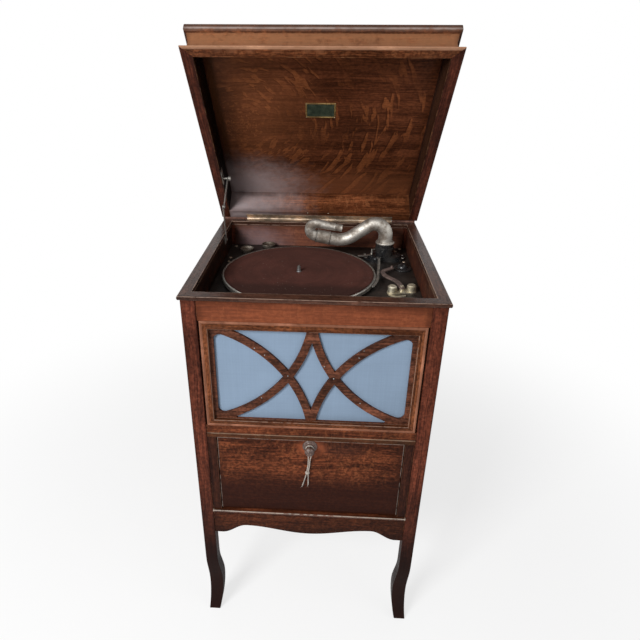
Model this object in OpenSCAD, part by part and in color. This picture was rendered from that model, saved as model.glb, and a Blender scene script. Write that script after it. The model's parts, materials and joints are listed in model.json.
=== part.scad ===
// Floor-standing wind-up gramophone in an oak cabinet on sabre legs.
// Millimetres. X runs right, Y runs back, Z runs up. The origin lies on the floor,
// under the middle of the whole object with its lid open.

/* [Case] */
// Width over the top rim
case_w = 445; // [430:1:460]
// Depth over the top rim
case_d = 449; // [435:1:465]
// Height of the top of the rim above the floor
case_h = 782; // [770:1:800]
// Side of a square corner post
post_s = 25; // [23:0.5:28]
// Thickness of the rim lipping
rim_t = 8; // [6:0.5:10]
// Width of the rim seen from above
rim_w = 21; // [19:0.5:23]
// How far the rim stands out past the posts
rim_over = 4; // [3:0.5:6]
// How far the boards of the case lie behind the faces of the posts
board_back = 2; // [1:0.5:4]
// Thickness of the lower back panel
back_t = 9; // [6:0.5:12]
// Thickness of the bottom board and of the shelf under the horn
shelf_t = 10; // [8:0.5:14]
// Thickness of the rail that carries the lid hinge
back_rail_t = 23; // [20:0.5:26]

/* [Front] */
// Height of the rail under the rim
top_rail_h = 38.5; // [34:0.5:44]
// Height of the grille moulding
grille_h = 216; // [205:1:225]
// Height of the rail between grille and flap
mid_rail_h = 28; // [24:0.5:32]
// Height of the opening for the flap
flap_open_h = 184; // [170:1:195]
// Height of the bead under the flap
ledge_h = 5; // [4:0.5:8]
// How far the bead stands out past the posts
ledge_out = 2.5; // [1:0.5:5]
// Height of the apron at its lowest point in the middle
apron_h = 53.5; // [48:0.5:60]
// Width of a stile beside the flap
stile_w = 17.5; // [14:0.5:20]
// Rise of the serpentine edge from the middle to its crests
apron_rise = 15.5; // [8:0.5:22]
// Drop of the serpentine edge from its crests to the posts
apron_drop = 22; // [12:0.5:26]
// Distance of a crest from the middle
apron_crest = 128; // [115:1:140]

/* [Legs] */
// Height at which the leg begins to curve
leg_curve_h = 165; // [140:5:190]
// Height of the knee, the innermost point of the curve
knee_h = 92; // [80:1:105]
// How far the inner face comes in at the knee
knee_in = 7; // [4:0.5:9]
// How far the outer face comes in at the knee
knee_out = 3.5; // [2:0.5:5]
// How far the inner face of the foot runs out from the knee
foot_in = 10.5; // [6:0.5:13]
// How far the outer face of the foot runs out from the knee
foot_out = 6; // [4:0.5:8]

/* [Grille] */
// Width of the mitred grille moulding
mould_w = 14.5; // [12:0.5:17]
// Thickness of the grille moulding
mould_t = 8; // [6:0.5:9]
// Gap between a post and the moulding
mould_gap = 3; // [2:0.5:5]
// Thickness of the fretwork
fret_t = 5; // [4:0.5:7]
// Width of a curved strip of the fretwork
fret_w = 14; // [11:0.5:17]
// Where a strip runs out of the upper corner, from the middle of the grille
fret_corner = [142, 83.5];
// Distance from the middle to where two strips cross
fret_cross = 40.5; // [34:0.5:48]
// Where the same strip meets the lower edge near the middle
fret_foot = [3, 87];
// Width of the plain border at the two ends of the fretwork
fret_border = 7; // [4:0.5:10]
// Rounding of the corners of the two end openings
fret_round = 11; // [6:1:16]
// Rounding of the narrow ends of the upper and lower openings
fret_nook = 3; // [1.5:0.5:5]
// Thickness of the stretched cloth
cloth_t = 1.5; // [1:0.5:3]

/* [Flap] */
// Thickness of the flap
flap_t = 16; // [14:0.5:18]
// Gap round the flap
flap_gap = 0.8; // [0.5:0.1:1.5]
// Radius of a pivot pin of the flap
flap_pin_r = 2.5; // [2:0.25:3]
// Length of a pivot pin of the flap
flap_pin_l = 22; // [18:1:26]
// Distance from the top edge of the flap to the middle of its knob
knob_drop = 14.5; // [13:0.5:24]
// How far the knob stands out from the flap
knob_l = 24; // [20:0.5:28]
// Radius of the base of the knob
knob_base_r = 14; // [12:0.5:16]
// Radius of the head of the knob
knob_head_r = 9.5; // [8:0.5:12]
// Radius of the neck of the knob
knob_neck_r = 5; // [4:0.5:6]

/* [Lid] */
// Angle of the lid when open
lid_angle = 52; // [45:1:56]
// Height of the moulded rails of the lid
lid_h = 56; // [52:1:62]
// How far the lip of the lid stands out past the rim
lid_over = 5; // [3:0.5:7]
// Thickness of the front and side rails at the lip
lid_wall = 20; // [18:0.5:22]
// Thickness of the back rail
lid_back_t = 24; // [20:0.5:28]
// Thickness of the top panel
lid_panel_t = 8; // [6:0.5:10]
// How far the top panel is set in from the lip
lid_panel_in = 12; // [9:0.5:15]
// Height of the bead along the top edge
bead_h = 17; // [13:0.5:20]
// Height of the lip along the bottom edge
lip_h = 3; // [2:0.5:5]
// Depth of the cove at its waist
cove_in = 10; // [7:0.5:12]
// Length of the small plaque inside the lid
plaque_l = 58; // [45:1:70]
// Height of the small plaque inside the lid
plaque_h = 36; // [28:1:44]
// Thickness of the plaque
plaque_t = 1; // [0.8:0.1:2]

/* [Lid hinge and stay] */
// Length of the long hinge
hinge_l = 338; // [300:2:360]
// Width of a leaf of the long hinge
leaf_w = 12; // [10:0.5:14]
// Thickness of a leaf
leaf_t = 1.2; // [1:0.1:1.5]
// Radius of a knuckle
knuckle_r = 2.6; // [2.2:0.1:3]
// Radius of the hinge pin
hinge_pin_r = 1.2; // [1:0.1:1.5]
// Number of knuckles, an odd number
knuckle_n = 13; // [9:2:19]
// Gap between the closed lid and the rim
lid_gap = 0.8; // [0.6:0.1:1.2]
// Width of a stay link
link_w = 8; // [6:0.5:10]
// Thickness of a stay link
link_t = 1.8; // [1.5:0.1:2.2]
// Radius of the stay rivets
rivet_r = 2; // [1.8:0.1:2.5]

/* [Turntable] */
// Radius of the turntable
platter_r = 153; // [140:1:155]
// Distance of the turntable from the middle of the case, to the left
platter_left = 34; // [20:1:36]
// Distance of the turntable from the middle of the case, to the front
platter_front = 4; // [0:1:10]
// Depth of the felt below the rim
felt_below = 38; // [35:0.5:42]
// Thickness of the felt
felt_t = 2; // [1.5:0.5:3]
// Radius of the record pin
record_pin_r = 3.6; // [3.5:0.05:3.65]
// Height of the record pin above the felt
record_pin_h = 12; // [10:0.5:14]
// Radius of the turntable spindle
spindle_r = 5; // [4:0.5:6]

/* [Motor board] */
// Depth of the motor board below the rim
board_below = 52.8; // [52:0.2:56]
// Thickness of the motor board
board_t = 12; // [10:0.5:14]
// Gap round the motor board
board_gap = 0.3; // [0.2:0.1:1]
// Side of a bearer strip under the motor board
bearer_s = 12; // [10:0.5:15]
// Radius of a needle cup
cup_r = 15.5; // [13:0.5:17]
// Height of a needle cup
cup_h = 9; // [7:0.5:11]
// Radius of the speed dial
dial_r = 19; // [16:0.5:20]
// Height of the speed dial
dial_h = 12; // [9:0.5:15]
// Radius of a brass pillar of the brake
pillar_r = 8.5; // [7:0.5:9]
// Height of a brass pillar of the brake
pillar_h = 15; // [12:0.5:18]

/* [Tonearm] */
// Place of the tonearm pivot
arm_x = 146; // [142:1:150]
// Place of the tonearm pivot, towards the back
arm_y = 122; // [116:1:126]
// Height of the tonearm base above the motor board
arm_base_h = 35; // [30:0.5:38]
// Radius of the tonearm tube at the arch
arm_r = 15; // [14:0.5:15.5]
// Radius of the tonearm tube at the ferrule
neck_r = 13.5; // [13:0.5:14]
// Radius of the arch of the swan neck
arch_r = 24; // [21:0.5:27]
// Length of the falling part of the swan neck
fall_l = 40; // [34:0.5:44]
// Radius of the sweep into the level part
sweep_r = 50; // [40:1:60]
// Distance from the sweep to the collar
level_l = 42; // [38:0.5:46]
// Slope of the level part in degrees
arm_slope = 10; // [4:1:14]
// Length of the ferrule on the end of the tonearm
collar_l = 30; // [24:1:34]
// Radius of the turned-back crook where it leaves the ferrule
crook_r = 12.3; // [11.5:0.2:12.5]
// Radius of the crook's bend
bend_r = 14; // [13:0.5:16]
// Radius of the end that takes the sound box
end_r = 7.5; // [6.5:0.25:7.75]
// Length of the end that takes the sound box
end_l = 15; // [12:0.5:18]
// Length of the tube from the bend to that end
return_l = 38; // [34:1:42]
// Forward lean of the parked crook in degrees
crook_lean = 8; // [0:1:20]

/* [Motor] */
// Tooth size of the gear train
gear_m = 1; // [1:0.05:1]
// Radius of the spring barrel
barrel_r = 38; // [34:0.5:39]
// Height of the spring barrel
barrel_h = 42; // [36:1:42]
// Free height between the motor plates
motor_h = 70; // [70:1:76]
// Thickness of a motor plate
plate_t = 3; // [2.5:0.5:4]
// Height of the spacers between motor and board
spacer_h = 11; // [10:0.5:13]
// Radius of the winding shaft
winder_r = 5; // [4:0.5:6]
// Radius of the hole for the winding handle
winding_hole_r = 8; // [7:0.5:10]

/* [Horn] */
// Thickness of the horn boards
horn_t = 8; // [6:0.5:10]
// Outer radius of the throat pipe
throat_r = 24; // [21:0.5:27]
// Wall of the throat pipe
throat_wall = 5; // [4:0.5:6]

/* [Hidden] */
$fn = 64;

eps = 0.01;
run = 0.06;                                  // running clearance of a shaft in its bore
seat = 0.3;                                  // clearance of a piece laid into its place

// Case levels and faces
face_x = case_w / 2 - rim_over;              // outer faces of the posts at the sides
face_y = case_d / 2 - rim_over;              // outer faces of the posts at front and back
in_x = face_x - post_s;                      // inner faces of the posts
in_y = face_y - post_s;
well_x = case_w / 2 - rim_w;                 // inner faces of the case boards and the rim
well_front = case_d / 2 - rim_w;
rim_z = case_h - rim_t;
grille_top = rim_z - top_rail_h;
grille_bottom = grille_top - grille_h;
flap_top = grille_bottom - mid_rail_h;
flap_bottom = flap_top - flap_open_h;
ledge_bottom = flap_bottom - ledge_h;
board_front = face_y - board_back;           // front faces of the rails and the apron
front_t = board_front - well_front;          // thickness of the front boards
back_rail_face = face_y - board_back - back_rail_t;
board_top = case_h - board_below;
bearer_z = board_top - board_t - bearer_s;
sight_x = in_x - mould_gap - mould_w;        // inner edge of the grille moulding
sight_h = grille_h - 2 * mould_w;
grille_mid = grille_bottom + grille_h / 2;
apron_low = ledge_bottom - apron_h;
side_bottom = apron_low - apron_drop + apron_rise;

// Layers of the grille, from front to back
mould_back = board_front - board_back - 2.5; // back of the moulding, as a depth from the middle
fret_front = mould_back - 0.2;
cloth_front = fret_front - fret_t - 0.2;
grille_back = well_front;
fret_x = sight_x + 6;                        // half width of the opening in the grille frame
fret_hz = sight_h / 2 + 6;

// Lid and hinge
axis_y = case_d / 2 + knuckle_r + 0.2;       // hinge axis behind the rim
axis_z = case_h + lid_gap / 2;
lid_x = case_w / 2 + lid_over;
lid_in_x = lid_x - lid_wall;                 // inner faces of the side rails
lid_front = case_d + lid_over;               // length of the lid from its back face
lid_under = lid_gap / 2;                     // underside of the lid above the hinge axis
lid_back = knuckle_r + 0.2;                  // back face of the lid in front of the axis
shadow_in = 8.5;                             // setback of the cove above the lip

// Flap
flap_face = board_front - 2.5;
flap_x = sight_x;
flap_hinge_r = flap_pin_r + 1.6;             // distance of the flap pivots from its faces
knob_z = flap_top - knob_drop;
knob_tip = flap_face + knob_l;

// The whole object is centred on the origin by its extremes at front and back
panel_back = lid_back + 4;                   // back edge of the top panel in front of the axis
extreme_back = axis_y - panel_back * cos(lid_angle)
    + (lid_under + lid_h + lid_panel_t) * sin(lid_angle);
shift_y = (knob_tip - extreme_back) / 2;

// Turntable
hub = [-platter_left, -platter_front];
felt_z = case_h - felt_below;
platter_z = felt_z - felt_t;
disc_t = 4;
rim_lip = 5;

// Stay, as distances forward of the hinge axis and above it, with the lid open
stay_foot_at = [115, -15];
stay_elbow_at = [133, 62];
slot_at = [131, 8];                          // on the lid: along it from the hinge, and above it
slot_min = 130;
slot_max = 146;
pin_at = [slot_at[0] * cos(lid_angle) - slot_at[1] * sin(lid_angle),
    slot_at[0] * sin(lid_angle) + slot_at[1] * cos(lid_angle)];
foot_plate = 1.5;
lower_x = -well_x + foot_plate + seat;       // outer face of the lower link
upper_x = lower_x + link_t + seat;

// Motor
plate_top = board_top - board_t - spacer_h;
plate_low = plate_top - plate_t - motor_h;   // top face of the lower plate
barrel_teeth = 90;
mid_pinion_teeth = 15;
mid_wheel_teeth = 66;
spindle_pinion_teeth = 15;
speed_wheel_teeth = 60;
speed_pinion_teeth = 12;
crown_teeth = 36;
winder_teeth = 12;
crown_m = 1.5;
crown_r = crown_teeth * crown_m / 2;
winder_pitch_r = winder_teeth * crown_m / 2;
mid_at = hub + [(mid_wheel_teeth + spindle_pinion_teeth) * gear_m / 2, 0];
barrel_at = mid_at + [(barrel_teeth + mid_pinion_teeth) * gear_m / 2, 0];
speed_angle = -60;
speed_at = hub + (speed_wheel_teeth + speed_pinion_teeth) * gear_m / 2
    * [cos(speed_angle), sin(speed_angle)];
barrel_gear_z = plate_low + 17;
mid_wheel_z = plate_low + 7;
speed_wheel_z = plate_low + 32;
crown_z = plate_low - plate_t - 6;           // underside of the crown wheel's disc
winder_z = crown_z - 1.6 - winder_pitch_r;
rib_h = 3;
rib_t = 1.1;

// Places on the motor board, from the boards round it
cup_places = [[-well_x + 42.5, back_rail_face - 50.5], [-well_x + 87.5, back_rail_face - 17.5]];
dial_at = [well_x - 21.5, 60];
pillar_places = [[146, -66], [182.6, -59]];
brake_pivot = [164.3, -60];
arm_pivot_at = [132, 92];

// Route of the string that hangs from the knob, from one tail to the other:
// x, distance in front of the flap, and height below the middle of the knob
string_r = 1.1;
string_route = [[-12, 3.2, -90], [-10.5, 3.4, -84], [-8.6, 3.8, -76], [-6.6, 4.4, -68],
    [-5.4, 4.8, -60], [-4.6, 5, -50], [-4.2, 5.2, -40], [-4.4, 5.6, -30], [-5.2, 6.2, -20],
    [-6.4, 6.9, -11], [-7.2, 7.4, -3], [-6.3, 7.8, 3.6], [-3.6, 8, 6.6], [0, 8.1, 7.5],
    [3.6, 8, 6.6], [6.3, 7.8, 3.6], [7.2, 7.4, -3], [6.2, 6.9, -11], [3.2, 6.2, -20],
    [0.4, 5.6, -30], [-1.2, 5.2, -40], [-1.6, 5, -50], [-1.8, 4.8, -60], [-2, 4.4, -68],
    [-2, 3.8, -76], [-2.2, 3.4, -82], [-2.4, 3.2, -86]];

oak = [0.30, 0.15, 0.09];
oak_dark = [0.20, 0.10, 0.07];
oak_light = [0.42, 0.24, 0.14];
brass = [0.70, 0.58, 0.30];
nickel = [0.66, 0.63, 0.58];
steel = [0.50, 0.50, 0.52];
black = [0.06, 0.06, 0.07];

// Everything is drawn about the middle of the case and then moved to the origin
module place() {
    translate([0, shift_y, 0]) children();
}

// A block from its low corner to its high corner
module block(low, high) {
    translate(low) cube(high - low);
}

function reversed(list) = [for (i = [len(list) - 1:-1:0]) list[i]];

// A smooth step from 0 to 1
function ease(t) = (1 - cos(180 * t)) / 2;

// A bar that runs along x with a given profile in y and z, mitred at both ends.
// Its outer edge lies at y = 0 and its inner edge at y = wide.
module mitred_bar(long, wide, tall) {
    intersection() {
        translate([-long / 2, 0, 0]) rotate([90, 0, 90]) linear_extrude(long) children();
        translate([0, 0, -tall]) linear_extrude(3 * tall) polygon([[-long / 2, 0], [long / 2, 0],
            [long / 2 - wide, wide], [-long / 2 + wide, wide]]);
    }
}

// Four bars round a rectangle, glued at their mitres. Each point of their profile is its
// distance in from the outer edge and its height.
module mitred_frame(wide, deep, profile) {
    n = len(profile);
    polyhedron(points = [for (c = [[-1, -1], [1, -1], [1, 1], [-1, 1]], p = profile)
        [c[0] * (wide / 2 - p[0]), c[1] * (deep / 2 - p[0]), p[1]]],
        faces = [for (i = [0:3], j = [0:n - 1]) [i * n + j, (i + 1) % 4 * n + j,
            (i + 1) % 4 * n + (j + 1) % n, i * n + (j + 1) % n]]);
}

// ---- Posts and legs ----

// Sideways shift of a leg's face at height z: in at the knee, out at the foot
function leg_shift(z, knee, foot) =
    z >= leg_curve_h ? 0
    : z >= knee_h ? knee * ease((leg_curve_h - z) / (leg_curve_h - knee_h))
    : knee - foot * pow((knee_h - z) / knee_h, 2);

leg_heights = [for (i = [0:14]) leg_curve_h * i / 14];

// Side view of a post and its leg, with its outer face on the line x = 0
module leg_profile() {
    polygon(concat([for (z = leg_heights) [leg_shift(z, knee_out, foot_out), z]],
        [[0, rim_z], [post_s, rim_z]],
        [for (i = [14:-1:0]) [post_s + leg_shift(leg_heights[i], knee_in, foot_in),
            leg_heights[i]]]));
}

// The left front post; its corner above the motor board's bearers is cut back to the well
module post(deep_well) {
    difference() {
        intersection() {
            translate([-face_x, 0, 0]) rotate([90, 0, 0])
                linear_extrude(4 * post_s + 2 * face_y, center = true) leg_profile();
            translate([0, -face_y, 0]) rotate([90, 0, 90])
                linear_extrude(4 * post_s + 2 * face_x, center = true) leg_profile();
        }
        block([-well_x, -deep_well, bearer_z], [0, 0, case_h]);
    }
}

module front_posts() {
    color(oak) place() {
        post(well_front);
        mirror([1, 0, 0]) post(well_front);
    }
}

module back_posts() {
    color(oak) place() mirror([0, 1, 0]) {
        post(in_y);
        mirror([1, 0, 0]) post(in_y);
    }
}

// ---- Case ----

// The lipping has a rounded nose; the rear strip is let in for the hinge leaf
rim_profile = [[0, 3], [0.9, 0.9], [3, 0], [rim_w, 0], [rim_w, rim_t], [2, rim_t],
    [0.6, rim_t - 0.6], [0, rim_t - 2]];

module rim() {
    color(oak_dark) place() difference() {
        translate([0, 0, rim_z]) mitred_frame(case_w, case_d, rim_profile);
        block([-hinge_l / 2 - seat, case_d / 2 - leaf_w - seat, case_h - leaf_t],
            [hinge_l / 2 + seat, case_d / 2 + 1, case_h + 1]);
    }
}

// The rail under the rim and the rail between grille and flap
module front_rails() {
    color(oak) place() {
        block([-in_x, -board_front, grille_top], [in_x, -well_front, rim_z]);
        block([-in_x, -board_front, flap_top], [in_x, -board_front + front_t, grille_bottom]);
    }
}

module flap_stiles() {
    color(oak) place() for (s = [-1, 1]) difference() {
        translate([s * (in_x + flap_x) / 2, -board_front + front_t / 2, (flap_top + flap_bottom) / 2])
            cube([in_x - flap_x, front_t, flap_open_h], center = true);
        translate([s * flap_x, -flap_face + flap_hinge_r, flap_bottom + flap_gap + flap_hinge_r])
            rotate([0, 90, 0]) cylinder(r = flap_pin_r, h = flap_pin_l, center = true);
    }
}

// A half-round nose along the front edge
module ledge_bead() {
    nose = ledge_h / 2;
    color(oak) place() {
        block([-in_x, -face_y - ledge_out + nose, ledge_bottom],
            [in_x, -board_front + front_t, flap_bottom]);
        translate([-in_x, -face_y - ledge_out + nose, ledge_bottom + nose]) rotate([0, 90, 0])
            cylinder(r = nose, h = 2 * in_x);
    }
}

// Height of the serpentine lower edge above its middle, at distance x from the middle
function apron_edge(x) =
    abs(x) <= apron_crest ? apron_rise * ease(abs(x) / apron_crest)
    : abs(x) <= in_x - 16 ? apron_rise
        - apron_drop * ease((abs(x) - apron_crest) / (in_x - 16 - apron_crest))
    : apron_rise - apron_drop;

module apron_board(half, top, thick) {
    translate([0, thick, 0]) rotate([90, 0, 0]) linear_extrude(thick)
        polygon(concat([[half, top], [-half, top]],
            [for (i = [-32:32]) [half * i / 32, apron_low + apron_edge(in_x * i / 32)]]));
}

module front_apron() {
    color(oak) place() translate([0, -board_front, 0]) apron_board(in_x, ledge_bottom, front_t);
}

module side_panel() {
    difference() {
        rotate([0, 0, 90]) translate([0, -face_x + board_back, 0])
            apron_board(in_y, rim_z, face_x - board_back - well_x);
        translate([well_x - 1, -platter_front, winder_z]) rotate([0, 90, 0])
            cylinder(r = winding_hole_r + 3, h = 2 * post_s);
    }
}

module right_panel() {
    color(oak) place() side_panel();
}

module left_panel() {
    color(oak) place() mirror([1, 0, 0]) rotate([0, 0, 90])
        translate([0, -face_x + board_back, 0])
            apron_board(in_y, rim_z, face_x - board_back - well_x);
}

module back_panel() {
    color(oak_dark) place()
        block([-in_x, face_y - board_back - back_t, side_bottom + 20],
            [in_x, face_y - board_back, bearer_z]);
}

module back_rail() {
    color(oak_dark) place()
        block([-in_x, back_rail_face, bearer_z], [in_x, face_y - board_back, rim_z]);
}

// The boards inside are notched round the posts
module shelf(top) {
    difference() {
        block([-well_x, -board_front + front_t, top - shelf_t],
            [well_x, face_y - board_back - back_t, top]);
        for (s = [-1, 1], t = [-1, 1])
            translate([s * (in_x + post_s / 2), t * (in_y + post_s / 2), top])
                cube([post_s, post_s, 4 * shelf_t], center = true);
    }
}

module bottom_board() {
    color(oak_dark) place() shelf(ledge_bottom);
}

module horn_shelf() {
    color(oak_dark) place() shelf(flap_top + shelf_t + 8);
}

// ---- Grille ----

module grille_frame() {
    color(oak_dark) place() difference() {
        block([-in_x, -mould_back, grille_bottom], [in_x, -grille_back, grille_top]);
        translate([0, 0, grille_mid]) cube([2 * fret_x, 4 * face_y, 2 * fret_hz], center = true);
    }
}

// Ogee moulding: a bead at the sight edge, a hollow, and a rounded outer edge
mould_profile = concat([[0, 0]],
    [for (a = [0:15:90]) [1.6 - 1.6 * cos(a), 0.55 * mould_t + 1.6 * sin(a)]],
    [for (a = [180:15:360]) [0.5 * mould_w + 0.29 * mould_w * cos(a),
        0.55 * mould_t + 1.6 + 1.4 * sin(a)]],
    [for (a = [180:-22.5:0]) [mould_w - 1.8 + 1.8 * cos(a), mould_t - 1.8 + 1.8 * sin(a)]],
    [[mould_w, 0]]);

module grille_moulding() {
    color(oak_light) place() translate([0, -mould_back, grille_mid]) rotate([90, 0, 0])
        mitred_frame(2 * (sight_x + mould_w), grille_h, reversed(mould_profile));
}

// Centre of the circle through three points
function circle_centre(a, b, c) =
    let (d = 2 * (a[0] * (b[1] - c[1]) + b[0] * (c[1] - a[1]) + c[0] * (a[1] - b[1])))
    [((a * a) * (b[1] - c[1]) + (b * b) * (c[1] - a[1]) + (c * c) * (a[1] - b[1])) / d,
        ((a * a) * (c[0] - b[0]) + (b * b) * (a[0] - c[0]) + (c * c) * (b[0] - a[0])) / d];

strip_centre = circle_centre([-fret_corner[0], fret_corner[1]], [-fret_cross, 0],
    [-fret_foot[0], -fret_foot[1]]);
strip_r = norm(strip_centre - [-fret_cross, 0]);

// The disc inside (side = -1) or outside (side = 1) edge of one strip, for each of its mirrors
module strip_disc(sx, sz, side) {
    mirror([sx, 0]) mirror([0, sz]) translate(strip_centre)
        circle(r = strip_r + side * fret_w / 2, $fn = 180);
}

// Rounds the outward corners of its children
module rounded(r) {
    offset(r = r, $fn = 40) offset(delta = -r) children();
}

// Opening at the left end, between a strip and its mirror image
module fret_lobe() {
    intersection() {
        square([2 * (sight_x - fret_border), sight_h - 2 * fret_border], center = true);
        strip_disc(0, 0, -1);
        strip_disc(0, 1, -1);
    }
}

// Opening above the left crossing, up to the moulding
module fret_spandrel() {
    intersection() {
        difference() {
            translate([-sight_x, 0]) square([sight_x, sight_h / 2]);
            strip_disc(0, 0, 1);
        }
        strip_disc(0, 1, -1);
    }
}

// Diamond in the middle, outside all four strips
module fret_diamond() {
    difference() {
        square([2 * fret_cross, 0.8 * sight_h], center = true);
        for (sx = [0, 1], sz = [0, 1]) strip_disc(sx, sz, 1);
    }
}

module fret() {
    color(oak_dark) place() translate([0, -fret_front, grille_mid]) rotate([90, 0, 0])
        translate([0, 0, -fret_t]) linear_extrude(fret_t) difference() {
            square([2 * (fret_x - seat), 2 * (fret_hz - seat)], center = true);
            fret_diamond();
            for (sx = [0, 1]) mirror([sx, 0]) {
                rounded(fret_round) fret_lobe();
                intersection() {
                    fret_lobe();
                    translate([-2 * fret_cross, 0]) square(2 * fret_cross, center = true);
                }
                for (sz = [0, 1]) mirror([0, sz]) {
                    rounded(fret_nook) fret_spandrel();
                    intersection() {
                        fret_spandrel();
                        translate([-2 * fret_cross, 0]) square([2 * fret_cross, sight_h / 2]);
                    }
                }
            }
        }
}

module grille_cloth() {
    color([0.50, 0.59, 0.69]) place() translate([0, -cloth_front + cloth_t / 2, grille_mid])
        cube([2 * (fret_x - seat), cloth_t, 2 * (fret_hz - seat)], center = true);
}

// ---- Horn ----

throat_at = [arm_x, arm_y];
horn_floor = flap_top + shelf_t + 8;
horn_top = bearer_z - 1;
horn_knee = plate_low - plate_t - 42;
horn_back_z = horn_knee - 27;
horn_end = arm_y + 41;

// The ceiling of the horn falls steeply from the grille to a knee, and then evenly
horn_knee_y = 122 - well_front;
function horn_roof(y) = lookup(y, [[-well_front, horn_top], [horn_knee_y, horn_knee],
    [horn_end, horn_back_z]]);
glue = 0.05;                                 // thickness of a glued joint

// Plan of the horn, which flares forwards, drawn in at its sides by a wall
module horn_plan(wall) {
    polygon([[wall - sight_x - horn_t, -well_front], [sight_x + horn_t - wall, -well_front],
        [throat_at[0] + 48 - wall, horn_end], [throat_at[0] - 48 + wall, horn_end]]);
}

// A board of the horn between two depths, with its lower and upper height at each of them
module horn_board(from, to, low, high) {
    intersection() {
        linear_extrude(case_h) children();
        rotate([90, 0, 90]) linear_extrude(4 * case_w, center = true)
            polygon([[from, low[0]], [to, low[1]], [to, high[1]], [from, high[0]]]);
    }
}

module horn_upright(from, to) {
    low = horn_floor + horn_t + glue;
    under = horn_t + glue;
    horn_board(from, to, [low, low], [horn_roof(from) - under, horn_roof(to) - under]) children();
}

module horn_ceiling(from, to) {
    high = [horn_roof(from), horn_roof(to)];
    horn_board(from, to, high - [horn_t, horn_t], high) horn_plan(0);
}

module horn_sides() {
    difference() {
        horn_plan(0);
        horn_plan(horn_t);
    }
}

module horn() {
    color(oak_dark) place() {
        horn_board(-well_front, horn_end, [horn_floor, horn_floor],
            [horn_floor + horn_t, horn_floor + horn_t]) horn_plan(0);
        horn_upright(-well_front, horn_knee_y - glue) horn_sides();
        horn_upright(horn_knee_y, horn_end - horn_t - glue) horn_sides();
        horn_upright(horn_end - horn_t, horn_end) horn_plan(0);
        horn_ceiling(-well_front, horn_knee_y - glue);
        difference() {
            horn_ceiling(horn_knee_y, horn_end);
            translate([throat_at[0], throat_at[1], horn_back_z - 2 * horn_t])
                cylinder(r = throat_r + seat, h = 60);
        }
    }
}

// Pipe from the tonearm base down into the horn, with a flange under the motor board
module horn_throat() {
    color(black) place() translate([throat_at[0], throat_at[1], 0]) difference() {
        union() {
            translate([0, 0, horn_back_z - horn_t])
                cylinder(r = throat_r, h = board_top - board_t - horn_back_z + horn_t);
            translate([0, 0, board_top - board_t - 5]) cylinder(r = throat_r + 12, h = 5);
        }
        translate([0, 0, horn_back_z - horn_t - 1])
            cylinder(r = throat_r - throat_wall, h = board_top);
    }
}

// ---- Motor board ----

module board_bearers() {
    color(oak_dark) place() {
        for (s = [-1, 1])
            translate([s * (well_x - bearer_s / 2), (back_rail_face - well_front) / 2,
                bearer_z + bearer_s / 2])
                cube([bearer_s, back_rail_face + well_front, bearer_s], center = true);
        for (y = [-well_front + bearer_s / 2, back_rail_face - bearer_s / 2])
            translate([0, y, bearer_z + bearer_s / 2])
                cube([2 * (well_x - bearer_s), bearer_s, bearer_s], center = true);
    }
}

module motor_board() {
    color([0.12, 0.09, 0.08]) place() difference() {
        block([-well_x + board_gap, -well_front + board_gap, board_top - board_t],
            [well_x - board_gap, back_rail_face - board_gap, board_top]);
        translate([hub[0], hub[1], 0]) cylinder(r = spindle_r + 3, h = case_h);
        translate([throat_at[0], throat_at[1], 0]) cylinder(r = throat_r - throat_wall, h = case_h);
    }
}

module needle_cup() {
    rotate_extrude() polygon(concat([[0, 0], [cup_r - 4, 0], [cup_r - 1.5, 3], [cup_r, cup_h - 0.6],
        [cup_r - 0.6, cup_h], [cup_r - 1.4, cup_h - 0.8]],
        [for (a = [10:16:90]) [(cup_r - 2) * cos(a), cup_h - (cup_h - 1.5) * sin(a)]]));
}

module needle_cups() {
    color(nickel) place() for (p = cup_places) translate([p[0], p[1], board_top]) needle_cup();
}

// Point on a smooth curve through a list of points, between points i and i + 1
function curve_point(p, i, t) =
    let (a = p[max(i - 1, 0)], b = p[i], c = p[i + 1], d = p[min(i + 2, len(p) - 1)])
    0.5 * (2 * b + (c - a) * t + (2 * a - 5 * b + 4 * c - d) * t * t
        + (3 * b - a - 3 * c + d) * t * t * t);

function curve(p, steps) = concat([for (i = [0:len(p) - 2], k = [0:steps - 1])
    curve_point(p, i, k / steps)], [p[len(p) - 1]]);

function unit(v) = v / norm(v);
function heading(path, i) =
    unit(path[min(i + 1, len(path) - 1)] - path[max(i - 1, 0)]);
function left_of(d) = [-d[1], d[0]];
function half_circle(centre, d, r) = [for (a = [75:-30:-75])
    centre + r * (cos(a) * d + sin(a) * left_of(d))];

// A flat strip of even width along a path, round at both ends
module ribbon(path, half) {
    n = len(path) - 1;
    polygon(concat([for (i = [0:n]) path[i] + half * left_of(heading(path, i))],
        half_circle(path[n], heading(path, n), half),
        [for (i = [n:-1:0]) path[i] - half * left_of(heading(path, i))],
        half_circle(path[0], -heading(path, 0), half)));
}

module strip(path, wide, thick) {
    linear_extrude(thick) ribbon(path, wide / 2);
}

// A solid of revolution from its steps: lower end, upper end and radius of each
module turned(steps) {
    rotate_extrude() polygon(concat([[0, steps[0][0]]],
        [for (s = steps) each [[s[2], s[0]], [s[2], s[1]]]], [[0, steps[len(steps) - 1][1]]]));
}

// Round-headed screws, sunk in the board: distances in from the boards at the sides and the back,
// and one beside the tonearm base
board_screw_places = concat([[arm_x + 42, arm_y - 20]],
    [for (p = [[11.5, 14.5], [10.9, 91.5], [11.5, 116.5]]) [p[0] - well_x, back_rail_face - p[1]]],
    [for (p = [[25, 25.5], [13, 9.5]]) [well_x - p[0], back_rail_face - p[1]]],
    [for (s = [-1, 1]) [s * (well_x - 15.5), 53.5 - well_front]]);

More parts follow.
